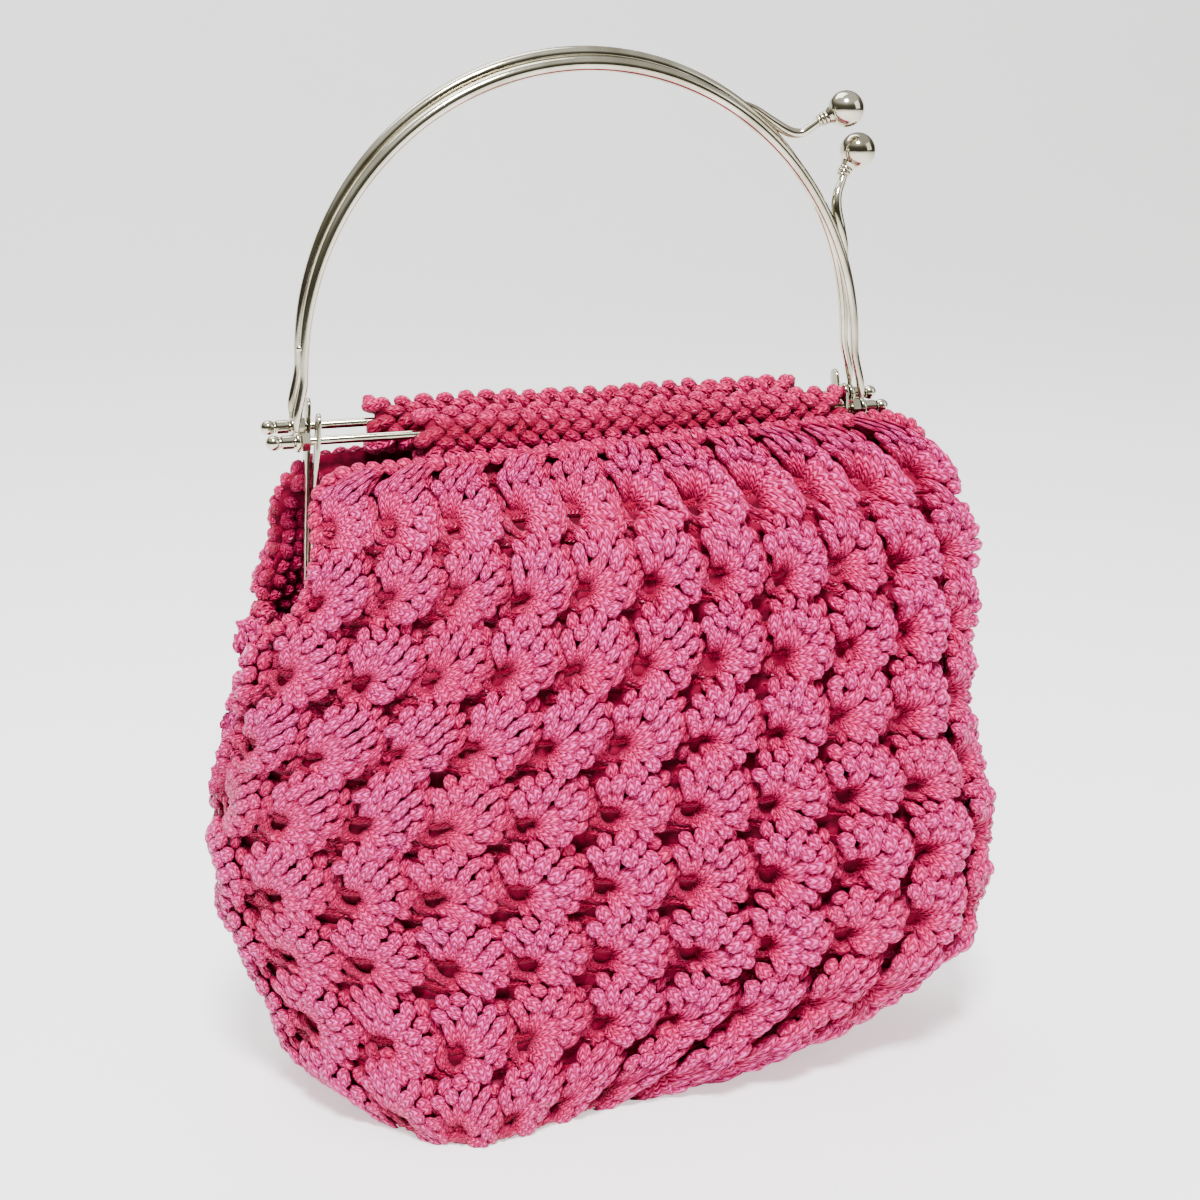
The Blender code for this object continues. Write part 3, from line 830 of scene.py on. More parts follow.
@dataclass(frozen=True)
class Section:
    """One level of the body, in shares of its half width and half depth; the twist is in degrees."""

    height: float
    half_width: float
    half_depth: float
    shift: float
    twist: float
    squareness: float


@dataclass(frozen=True)
class SlitEdge:
    """Where the panels end beside the slits at one level, as shares of the half width."""

    height: float
    front_left: float
    front_right: float
    back_left: float
    back_right: float


@dataclass
class BagShape:
    """The crocheted body's surface, as in the part's source."""

    half_width: float = 0.150
    half_depth: float = 0.054
    top_below_rod: float = 0.0055
    top_tilt: float = 0.0055
    fabric: float = 0.007
    casing_thickness: float = 0.0104
    side_dent: float = 0.018
    dent_half_width: float = 0.017
    dent_bottom: float = 0.47
    pin_head: float = 0.0013
    sag: float = 0.024
    sag_side: float = -0.46
    sag_width: float = 0.30
    sag_top: float = 0.34
    sections: tuple[Section, ...] = (
        Section(0.00, 0.49, 0.80, -0.16, -6.0, 2.7),
        Section(0.05, 0.685, 0.88, -0.085, -8.0, 2.7),
        Section(0.15, 0.89, 0.93, 0.035, -9.5, 2.7),
        Section(0.35, 1.01, 0.98, 0.05, -8.0, 2.7),
        Section(0.55, 0.96, 0.95, 0.035, -5.0, 2.7),
        Section(0.75, 0.945, 0.79, 0.08, -2.0, 2.8),
        Section(0.89, 0.91, 0.60, 0.08, 0.0, 3.6),
        Section(0.96, 0.925, 0.34, 0.065, 0.0, 6.0),
        Section(1.00, 0.925, 0.34, 0.065, 0.0, 6.0),
    )
    slits: tuple[SlitEdge, ...] = (
        SlitEdge(0.741, 1.000, 1.000, 1.000, 1.000),
        SlitEdge(0.778, 0.930, 0.990, 0.985, 0.970),
        SlitEdge(0.815, 0.910, 0.985, 0.972, 0.950),
        SlitEdge(0.889, 0.885, 0.970, 0.950, 0.920),
        SlitEdge(0.945, 0.850, 0.905, 0.905, 0.880),
        SlitEdge(0.985, 0.800, 0.830, 0.840, 0.820),
        SlitEdge(1.000, 0.740, 0.750, 0.780, 0.740),
    )
    wedge_bottom: float = 0.40
    columns: int = 88
    rows: int = 90

    def __post_init__(self) -> None:
        """Works out the points and outward directions of both panels, the whole of each first."""
        self.panels = {}
        for face in Face:
            for band in Band:
                self.panels[face, band] = self.table(face, band)

    def table(self, face: Face, band: Band) -> tuple[np.ndarray, np.ndarray]:
        """Points and outward directions of one band, level by level.

        Args:
            face: The panel.
            band: The band.

        Returns:
            Both arrays.
        """
        levels = np.linspace(0, 1, self.rows + 1)
        places = np.array([self.row(face, level, band) for level in levels]) + SHIFT
        if band is Band.WHOLE:
            out = np.cross(np.gradient(places, axis=1), np.gradient(places, axis=0))
            return places, out / np.maximum(np.linalg.norm(out, axis=2, keepdims=True), 1e-12)
        whole, whole_out = self.panels[face, Band.WHOLE]
        out = np.empty_like(places)
        for level in range(self.rows + 1):
            gaps = np.linalg.norm(whole[level][:, None] - places[level][None], axis=2)
            out[level] = whole_out[level][gaps.argmin(0)]
        smooth = out.copy()
        smooth[:, 1:-1] = (out[:, :-2] + 2 * out[:, 1:-1] + out[:, 2:]) / 4
        return places, smooth / np.linalg.norm(smooth, axis=2, keepdims=True)

    def edges(self, face: Face, height: float) -> list[float]:
        """Where a panel's slit edges are.

        Args:
            face: The panel.
            height: The level.

        Returns:
            The left and the right edge, as shares of the half width.
        """
        left = self.between(self.slits, face.name.lower() + "_left", height)
        return [-left, self.between(self.slits, face.name.lower() + "_right", height)]

    @property
    def height(self) -> float:
        """Height of the body's top edge."""
        return SIZES.rod_height - self.top_below_rod

    @property
    def slit_bottom(self) -> float:
        """Level at which the side slits start."""
        return self.slits[0].height

    def between(self, table: tuple, column: str, height: float) -> float:
        """Reads a column at a height, on a smooth curve through the table's rows.

        Args:
            table: The sections or the slit edges.
            column: The column's name.
            height: The level.

        Returns:
            The value.
        """
        knots = [row.height for row in table]
        values = [getattr(row, column) for row in table]
        slopes = np.gradient(values, knots)
        i = min(max(np.searchsorted(knots, height) - 1, 0), len(knots) - 2)
        span = knots[i + 1] - knots[i]
        t = (height - knots[i]) / span
        start = (2 * t**3 - 3 * t**2 + 1) * values[i] + (t**3 - 2 * t**2 + t) * span * slopes[i]
        end = (3 * t**2 - 2 * t**3) * values[i + 1] + (t**3 - t**2) * span * slopes[i + 1]
        return start + end

    def depth_at(self, height: float) -> float:
        """Half depth of the body at a level, easing to an upright edge beside the casings.

        Args:
            height: The level.

        Returns:
            The half depth.
        """
        top = SIZES.rod_spacing / 2 + self.casing_thickness / 2 + SIZES.gap + self.fabric
        shoulder, upright = self.sections[-3], self.sections[-2]
        if height >= upright.height:
            return top
        plain = self.between(self.sections, "half_depth", height) * self.half_depth
        share = smooth_step((height - shoulder.height) / (upright.height - shoulder.height))
        return plain + share * (top - upright.half_depth * self.half_depth)

    def dented(self, x: np.ndarray, y: np.ndarray, seam: float, height: float) -> np.ndarray:
        """Pulls a side in round its seam, where the hinge hangs.

        Args:
            x: Distances outwards.
            y: Depths.
            seam: The seam's distance from the frame's middle.
            height: The level.

        Returns:
            The new distances.
        """
        tilt_room = SIZES.leg_width / 2 * SIZES.leg_splay / SIZES.leg_length
        hinge = SIZES.leg_middle + SIZES.leg_splay
        room = hinge + SIZES.leg_stack / 2 + 2 * SIZES.gap + self.pin_head + tilt_room + self.fabric
        depth = min(self.side_dent, max(seam - room, 0.0)) if seam > room else seam - room
        grown = smooth_step((height - self.dent_bottom) / (self.slit_bottom - self.dent_bottom))
        return x - depth * grown * np.clip(1 - (y / self.dent_half_width) ** 2, 0.0, 1.0) ** 2

    def corner_sag(self, along: np.ndarray, y: np.ndarray, height: float) -> np.ndarray:
        """How far the lower left corner of the front sags forward.

        Args:
            along: Distances to the right of the frame's middle.
            y: Depths in the section.
            height: The level.

        Returns:
            The distances.
        """
        grown = 1 - smooth_step(height / self.sag_top)
        front_share = smooth_step(-y / self.depth_at(height))
        spread = np.exp(-(((along / self.half_width - self.sag_side) / self.sag_width) ** 2))
        return self.sag * grown * front_share * spread

    def row(self, face: Face, height: float, band: Band) -> np.ndarray:
        """Points of a band at one level, evenly spaced from edge to edge.

        Args:
            face: The panel.
            height: The level.
            band: The band. Its columns drift away from the seams below the slits.

        Returns:
            The points.
        """
        half_width = self.between(self.sections, "half_width", height) * self.half_width
        shift = self.between(self.sections, "shift", height) * self.half_width
        power = 2 / self.between(self.sections, "squareness", height)
        turns = np.linspace(0, math.pi, 241)
        x = -half_width * np.sign(np.cos(turns)) * np.abs(np.cos(turns)) ** power
        y = -self.depth_at(height) * np.sin(turns) ** power
        run = np.concatenate([[0], np.cumsum(np.hypot(np.diff(x), np.diff(y)))])
        grown = self.slits[1].height
        marks = np.interp(np.array(self.edges(face, max(height, grown))) * half_width, x, run)
        drift = float(smooth_step((height - self.wedge_bottom) / (grown - self.wedge_bottom)))
        eased = (marks[0] * drift, run[-1] - (run[-1] - marks[1]) * drift)
        true = (0.0, run[-1])
        if height > self.slit_bottom:
            true = np.interp(np.array(self.edges(face, height)) * half_width, x, run)
        span = {
            Band.WHOLE: true,
            Band.COLUMNS: eased,
            Band.LEFT_WEDGE: (0.0, eased[0]),
            Band.RIGHT_WEDGE: (eased[1], run[-1]),
        }[band]
        spots = np.linspace(*span, self.columns + 1)
        x, y = np.interp(spots, run, x), np.interp(spots, run, y)
        left = -self.dented(-x, y, half_width - shift, height)
        right = self.dented(x, y, half_width + shift, height)
        x = np.where(x < 0, left, right)
        if face is Face.BACK:
            x, y = x[::-1], -y[::-1]
        twist = math.radians(self.between(self.sections, "twist", height))
        along = x * math.cos(twist) - y * math.sin(twist) + shift
        depth = x * math.sin(twist) + y * math.cos(twist) - self.corner_sag(along, y, height)
        tilt = self.top_tilt * smooth_step((height - self.slit_bottom) / (1 - self.slit_bottom))
        return np.column_stack([along, depth, self.height * height + tilt * along / self.half_width])

    def lay(
        self, face: Face, across: np.ndarray, up: np.ndarray, out: np.ndarray | float, band: Band = Band.WHOLE
    ) -> np.ndarray:
        """Lays points on a panel, and past its edges in a straight line.

        Args:
            face: The panel.
            band: The part of it that the shares are read on.
            across: Shares of the way from its first edge to its other edge.
            up: Shares of the way from the base to its top edge.
            out: Distances outwards in metres.

        Returns:
            The points.
        """
        places, outward = self.panels[face, band]
        s = np.asarray(across, float) * self.columns
        t = np.asarray(up, float) * self.rows
        i = np.clip(np.floor(s), 0, self.columns - 1).astype(int)
        j = np.clip(np.floor(t), 0, self.rows - 1).astype(int)
        a, b = (s - i)[:, None], (t - j)[:, None]
        low = places[j, i] * (1 - a) + places[j, i + 1] * a
        high = places[j + 1, i] * (1 - a) + places[j + 1, i + 1] * a
        a, held = np.clip(a, 0, 1), np.clip(b, 0, 1)
        low_out = outward[j, i] * (1 - a) + outward[j, i + 1] * a
        high_out = outward[j + 1, i] * (1 - a) + outward[j + 1, i + 1] * a
        normal = unit(low_out * (1 - held) + high_out * held)
        return low * (1 - b) + high * b + normal * np.broadcast_to(out, s.shape)[:, None]


def ripples(points: np.ndarray, size: float, seed: int) -> np.ndarray:
    """Soft irregular offsets that change slowly over space.

    Args:
        points: Where they are wanted.
        size: Size of a ripple in metres.
        seed: Which pattern.

    Returns:
        An offset of about unit size for each point.
    """
    rng = np.random.default_rng(seed)
    total = np.zeros((len(points), 3))
    for _ in range(7):
        wave = rng.normal(size=points.shape[1]) * 2 / size
        total += np.sin(points @ wave + rng.uniform(0, 6.28))[:, None] * rng.normal(size=3)
    return total / 3


# Crochet body


@dataclass(frozen=True)
class HeadRow:
    """A row of stitch heads round a shell's stems; directions and leans are in degrees."""

    radius: float
    out: float
    first: float
    last: float
    spacing: float
    lean: float


@dataclass(frozen=True)
class StemPoint:
    """A point along every stem: distance from the hole, height, and thickness as a share of the cord."""

    reach: float
    out: float
    thickness: float


@dataclass
class ShellStitch:
    """One shell of the crochet: stems that fan out of a deep hole, and rows of heads round them."""

    width: float = 0.0305
    height: float = 0.0283
    hole: tuple[float, float] = (0.0074, 0.0070)
    cord: float = 0.0022
    stems: tuple[float, ...] = (-44.0, -18.0, 7.0, 31.0, 55.0, 80.0, 108.0)
    stem_points: tuple[StemPoint, ...] = (
        StemPoint(0.0040, -0.0056, 0.70),
        StemPoint(0.0052, -0.0016, 0.86),
        StemPoint(0.0070, 0.0016, 1.02),
        StemPoint(0.0092, 0.0030, 1.18),
        StemPoint(0.0114, 0.0032, 1.28),
        StemPoint(0.0128, 0.0022, 1.20),
    )
    head: StitchHead = StitchHead()
    head_rows: tuple[HeadRow, ...] = (
        HeadRow(0.0148, 0.0042, -40.0, 124.0, 0.0060, 78.0),
        HeadRow(0.0194, 0.0024, -22.0, 108.0, 0.0062, 58.0),
        HeadRow(0.0234, -0.0012, -6.0, 92.0, 0.0066, 25.0),
    )
    fall: float = 0.0018
    rim_radius: float = 0.0058

    def polar(
        self, angle: np.ndarray | float, radius: np.ndarray | float, out: np.ndarray | float
    ) -> np.ndarray:
        """Points round the hole.

        Args:
            angle: Directions in degrees.
            radius: Distances from the hole.
            out: Heights.

        Returns:
            The points.
        """
        turn = np.radians(angle)
        x = self.hole[0] + np.cos(turn) * radius
        y = self.hole[1] + np.sin(turn) * radius
        return np.column_stack(np.broadcast_arrays(x, y, out))

    def fan(self, maker: Maker, rng: np.random.Generator) -> None:
        """The stems of the shell, which lie side by side.

        Args:
            maker: Where they are laid.
            rng: Where their differences come from.
        """
        reach = np.array([point.reach for point in self.stem_points])
        out = np.array([point.out for point in self.stem_points])
        thick = np.array([point.thickness for point in self.stem_points]) * self.cord
        for angle in self.stems:
            lean = rng.normal(0, 5.0)
            angles = angle + rng.normal(0, 3.0) + lean * np.linspace(0, 1, len(reach))
            path = self.polar(angles, reach * (1 + rng.normal(0, 0.04)), out + rng.normal(0, 0.0003))
            radii = np.interp(np.linspace(0, 1, 8), np.linspace(0, 1, 6), thick)
            maker.tube(curved(path, 8), radii, sides=7)

    def crown(self, maker: Maker, rng: np.random.Generator, row: HeadRow) -> None:
        """A row of stitch heads round the stems, which falls a little to both ends.

        Args:
            maker: Where they are laid.
            rng: Where their differences come from.
            row: Where the row runs.
        """
        angles = np.linspace(row.first, row.last, 40)
        ends = np.linspace(-1, 1, 40) ** 2
        path = self.polar(angles, row.radius * (1 - 0.05 * ends), row.out - self.fall * ends)
        ups = np.tile((0.0, 0.0, 1.0), (len(path), 1))
        maker.heads(path, ups, self.head, row.spacing, row.lean, rng)

    def links(self, maker: Maker, rng: np.random.Generator) -> None:
        """The strands that join the shell to its neighbours.

        Args:
            maker: Where they are laid.
            rng: Where their differences come from.
        """
        w, h = self.width, self.height
        ups = np.tile((0.0, 0.0, 1.0), (12, 1))
        slant = [
            (w * 1.0, h * 0.44, 0.0),
            (w * 0.90, h * 0.24, 0.0014),
            (w * 0.76, h * 0.05, 0.0012),
            (w * 0.62, -h * 0.08, -0.0012),
        ]
        link = StitchHead(self.cord * 0.95, 0.0030, 0.0006, 14.0)
        maker.heads(curved(slant, 12), ups, link, 0.0048, 20.0, rng)
        post = [
            (0.0014, 0.0010, -0.0032),
            (0.0006, 0.0060, -0.0018),
            (0.0010, 0.0115, -0.0014),
            (0.0030, 0.0160, -0.0034),
        ]
        maker.heads(curved(post, 12), ups, link, 0.0066, -18.0, rng)
        rim = self.polar(np.linspace(172, 316, 8), self.rim_radius, -0.0028)
        maker.tube(rim, self.cord * 0.95)
        for share in (0.0, 0.36, 0.72):
            y = h * share
            floor = [
                (-0.001, y, -0.0046),
                (w * 0.3, y - 0.0016, -0.0042),
                (w * 0.65, y + 0.0014, -0.0040),
                (w + 0.001, y, -0.0046),
            ]
            maker.tube(curved(floor, 6), self.cord * 1.15, sides=5)

    def template(self, columns: int, seed: int) -> bpy.types.Mesh:
        """A flat row of shells that differ a little, with each point's column stored on the point.

        Args:
            columns: How many shells there are in the row.
            seed: Which set of differences.

        Returns:
            The mesh.
        """
        rng = np.random.default_rng(seed)
        row = bmesh.new()
        for column in range(columns):
            maker = Maker("shell_stitch", column=column, offset=(column * self.width, 0.0, 0.0))
            self.fan(maker, rng)
            for head_row in self.head_rows:
                self.crown(maker, rng, head_row)
            self.links(maker, rng)
            shell = maker.mesh()
            row.from_mesh(shell)
            bpy.data.meshes.remove(shell)
        mesh = bpy.data.meshes.new("shell_row")
        row.to_mesh(mesh)
        row.free()
        mesh.shade_smooth()
        return mesh


@dataclass
class ShellField:
    """Rows of shells over part of one panel; a wave is its length and its height."""

    shape: BagShape
    stitch: ShellStitch
    face: Face
    name: str
    levels: tuple[float, float]
    rows: int
    columns: int = 11
    band: Band = Band.COLUMNS
    sink: float = 0.0010
    least_relief: float = 0.66
    relief_gain: float = 0.58
    loose_turn: float = 5.0
    loose_size: float = 0.035
    loose_place: float = 0.0006
    loose_height: float = 0.10
    small_wave: tuple[float, float] = (0.011, 0.0005)
    large_wave: tuple[float, float] = (0.030, 0.0007)
    above_floor: float = 0.0002
    # Heights that map onto the stored value, from the cord's painted shade at the deepest to its painted
    # highlight one tone range higher.
    deepest: float = -0.0045
    tone_range: float = 0.0115

    def repeated(self) -> bpy.types.Mesh:
        """One row of shells, repeated upwards by an Array modifier.

        Returns:
            The flat mesh.
        """
        seed = 40 + round(self.levels[0] * 90) + self.face.value
        tile = bpy.data.objects.new("shell_tile", self.stitch.template(self.columns, seed))
        bpy.context.scene.collection.objects.link(tile)
        array = tile.modifiers.new("repeat", "ARRAY")
        array.count = self.rows
        array.use_relative_offset = False
        array.use_constant_offset = True
        array.constant_offset_displace = (0, self.stitch.height, 0)
        graph = bpy.context.evaluated_depsgraph_get()
        mesh = bpy.data.meshes.new_from_object(tile.evaluated_get(graph))
        bpy.data.objects.remove(tile, do_unlink=True)
        return mesh

    def relief(self, across: np.ndarray, up: np.ndarray) -> np.ndarray:
        """How strongly the shells stand out: flat on the stretched left, deep on the right.

        Args:
            across: Shares of the way over the panel.
            up: Shares of the way up.

        Returns:
            Factors on the height.
        """
        way = across if self.face is Face.FRONT else 1 - across
        strong = self.least_relief + self.relief_gain * smooth_step((way - 0.12) / 0.75)
        ends = 0.55 + 0.45 * smooth_step(up / 0.10)
        return strong * ends * (0.75 + 0.25 * smooth_step((1 - up) / 0.06))

    def varied(self, places: np.ndarray, cell: np.ndarray) -> tuple[np.ndarray, np.ndarray]:
        """Turns, sizes and moves each shell a little, and lets the whole field wave.

        Args:
            places: The flat field's points.
            cell: Column and row of the shell that each point belongs to.

        Returns:
            The points' places in the flat field, and their heights.
        """
        step = np.array([self.stitch.width, self.stitch.height])
        local = places[:, :2] - cell * step
        number = cell[:, 1] * self.columns + cell[:, 0]
        rng = np.random.default_rng(17 + round(self.levels[0] * 90) + self.face.value)
        total = self.columns * self.rows
        turn = np.radians(rng.normal(0, self.loose_turn, total))[number]
        size = (1 + rng.normal(0, self.loose_size, (total, 2)))[number]
        nudge = rng.normal(0, self.loose_place, (total, 2))[number]
        bulge = (1 + rng.normal(0, self.loose_height, total))[number]
        middle = step / 2
        away = (local - middle) * size
        turned = np.column_stack([
            away[:, 0] * np.cos(turn) - away[:, 1] * np.sin(turn),
            away[:, 0] * np.sin(turn) + away[:, 1] * np.cos(turn),
        ])
        flat = cell * step + middle + turned + nudge
        high = places[:, 2] * bulge
        seeds = np.column_stack([flat, high])
        small, large = self.small_wave, self.large_wave
        wobble = ripples(seeds, small[0], 5) * small[1] + ripples(seeds, large[0], 9) * large[1]
        return flat + wobble[:, :2], high + wobble[:, 2] * 0.6

    def build(self) -> bpy.types.Mesh:
        """Lays the repeated shells on the panel.

        Returns:
            The piece's mesh.
        """
        mesh = self.repeated()
        count = len(mesh.vertices)
        column = np.empty(count, np.int32)
        mesh.attributes["column"].data.foreach_get("value", column)
        mesh.attributes.remove(mesh.attributes["column"])
        row = np.arange(count) // (count // self.rows)
        flat, high = self.varied(read_places(mesh), np.column_stack([column, row]))
        across = flat[:, 0] / self.stitch.width / self.columns
        low, top = self.levels
        up = low + (top - low) * flat[:, 1] / self.stitch.height / self.rows
        inside = np.clip(across, -0.006, 1.006)
        up = np.clip(up, -0.01, 1.002)
        out = high * self.relief(inside, up) - self.sink
        laid = self.shape.lay(self.face, inside, up, out, self.band)
        laid[:, 2] = np.maximum(laid[:, 2], self.above_floor)
        mesh.vertices.foreach_set("co", laid.ravel())
        # Low strands get the painted shade, high strands the painted highlight.
        set_lift(mesh, np.clip((high - self.deepest) / self.tone_range, 0, 1))
        mesh.name = f"{self.face.name.lower()}_{self.name}"
        mesh.update()
        return mesh


@dataclass
class CrochetBody:
    """The bag's body: shells outside, a backing inside, heads on its edges and chain rounds on its base."""

    shape: BagShape
    yarn: bpy.types.Material
    shade_backing: bpy.types.Material
    stitch: ShellStitch = field(default_factory=ShellStitch)
    backing_depth: float = 0.0042
    backing_thickness: float = 0.0012
    inner_head: StitchHead = StitchHead(0.0027, 0.0035, 0.0002, 18.0)
    edge_head: StitchHead = StitchHead(0.0027, 0.0030, 0.0008, 16.0)
    inner_depth: float = 0.0052
    inner_levels: tuple[float, float, float] = (0.56, 0.985, 0.0225)
    inner_reach: float = 0.26
    inner_reach_at_top: float = 0.09
    base_round: float = 0.0062
    base_cord: float = 0.0019
    base_stitch: float = 0.0072

    def backing(self) -> None:
        """The wall behind the shells, in one piece with the flat base."""
        shape = self.shape
        bm = bmesh.new()
        columns, rows = 66, 60
        for face in Face:
            grid = bmesh.ops.create_grid(bm, x_segments=columns, y_segments=rows, size=0.5)["verts"]
            flat = np.array([vert.co for vert in grid])
            places = shape.lay(face, flat[:, 0] + 0.5, flat[:, 1] + 0.5, 0.0)
            for vert, place in zip(grid, places):
                vert.co = place
        bmesh.ops.remove_doubles(bm, verts=bm.verts, dist=2e-5)
        floor = [edge for edge in bm.edges if edge.is_boundary and max(v.co.z for v in edge.verts) < 0.001]
        base = bmesh.ops.edgeloop_fill(bm, edges=floor)["faces"]
        bmesh.ops.recalc_face_normals(bm, faces=bm.faces)
        bmesh.ops.inset_region(bm, faces=base, thickness=0.012, use_even_offset=True)
        mesh = bpy.data.meshes.new("crochet_backing")
        bm.to_mesh(mesh)
        bm.free()
        mesh.shade_smooth()
        normals = np.empty(len(mesh.vertices) * 3)
        mesh.vertex_normals.foreach_get("vector", normals)
        mesh.vertices.foreach_set("co", read_places(mesh).ravel() - normals * self.backing_depth)
        mesh.update()
        # The backing's dark crimson is painted shade, seen through the holes between the shells.
        piece = add_piece(mesh, self.shade_backing, "crochet_bag")
        inner = piece.modifiers.new("wall", "SOLIDIFY")
        inner.thickness = self.backing_thickness
        inner.offset = -1
        inner.use_even_offset = True

    def shells(self) -> None:
        """The shells of both panels, in pieces of three rows, and the wedges below the slits."""
        wedge = (0.50, 0.745)
        thirds = {"lower": (0.0, 1 / 3), "middle": (1 / 3, 2 / 3), "upper": (2 / 3, 1.0)}
        for face in Face:
            fields = [
                ShellField(self.shape, self.stitch, face, f"{word}_shells", levels, 3)
                for word, levels in thirds.items()
            ]
            fields += [
                ShellField(self.shape, self.stitch, face, band.value, wedge, 2, 1, band)
                for band in (Band.LEFT_WEDGE, Band.RIGHT_WEDGE)
            ]
            for part in fields:
                add_piece(part.build(), self.yarn, "crochet_bag")

    def edge_path(self, face: Face, inset: float, out: float) -> tuple[np.ndarray, np.ndarray]:
        """The edge of one panel, up one slit, along the top and down the other slit.

        Args:
            face: The panel.
            inset: How far inside the edge it runs, as a share of the panel.
            out: Distance outwards.

        Returns:
            Points and outward directions.
        """
        low = self.shape.slit_bottom
        top = 1.0 - inset
        rise = np.linspace(low, top, 40)
        over = np.linspace(inset, 1 - inset, 160)
        across = np.concatenate([np.full(40, inset), over, np.full(40, 1 - inset)])
        up = np.concatenate([rise, np.full(160, top), rise[::-1]])
        points = self.shape.lay(face, across, up, out)
        return points, self.shape.lay(face, across, up, out + 0.001) - points

    def edging(self) -> None:
        """Rows of stitch heads that finish the slits and the top edges."""
        for face in Face:
            maker = Maker(f"{face.name.lower()}_edging")
            points, outs = self.edge_path(face, 0.004, -0.0030)
            rng = np.random.default_rng(31 + face.value)
            maker.heads(points, outs, self.edge_head, 0.0056, 38.0, rng)
            mesh = maker.mesh()
            set_lift(mesh, 0.55)
            add_piece(mesh, self.yarn, "crochet_bag")

    def inner_rows(self) -> None:
        """Rows of plain stitches inside the panels, where the slits leave them to be seen."""
        for face in Face:
            maker = Maker(f"{face.name.lower()}_inner_rows")
            rng = np.random.default_rng(71 + face.value)
            for number, level in enumerate(np.arange(*self.inner_levels)):
                reach = self.inner_reach if level < 0.93 else self.inner_reach_at_top
                for start, end in ((0.006, reach), (1 - reach, 0.994)):
                    across = np.linspace(start, end, 30)
                    path = self.shape.lay(face, across, np.full(30, level), -self.inner_depth)
                    ups = self.shape.lay(face, across, np.full(30, level), -self.inner_depth - 0.001) - path
                    maker.heads(path, ups, self.inner_head, 0.0066, 30.0 if number % 2 else -30.0, rng)
            mesh = maker.mesh()
            # Painted shade: the inner rows take a dark tone as they lie inside the bag.
            set_lift(mesh, 0.32)
            add_piece(mesh, self.yarn, "crochet_bag")

    def base(self) -> None:
        """Rounds of chain stitch on the flat base."""
        ring = np.vstack([
            self.shape.lay(face, np.linspace(0, 1, 120, endpoint=False), np.zeros(120), 0.0) for face in Face
        ])
        centre = ring.mean(0)
        reach = float(np.abs(ring[:, 1] - centre[1]).max())
        maker = Maker("base_rounds")
        rounds = int(reach / self.base_round)
        for number in range(rounds):
            share = 1 - (number + 0.35) * self.base_round / reach
            length_share = max(share, 0.04) * (1 + 0.25 * (1 - share))
            path = centre + (ring - centre) * np.array([length_share, share, 1.0])
            path[:, 2] = self.base_cord + 0.0013
            ups = np.tile((0.0, 0.0, -1.0), (len(path), 1))
            closed = np.vstack([path, path[:1]])
            maker.chain_round(
                closed, np.vstack([ups, ups[:1]]), self.base_stitch, 0.0016, 0.0009, self.base_cord,
                hand=1 if number % 2 else -1,
            )
        mesh = maker.mesh()
        # Painted shade: the base rounds take a darker tone than the middle of the shells.
        set_lift(mesh, 0.35)
        add_piece(mesh, self.yarn, "crochet_bag")

    def build(self) -> None:
        """Builds the whole body."""
        self.backing()
        self.shells()
        self.edging()
        self.inner_rows()
        self.base()


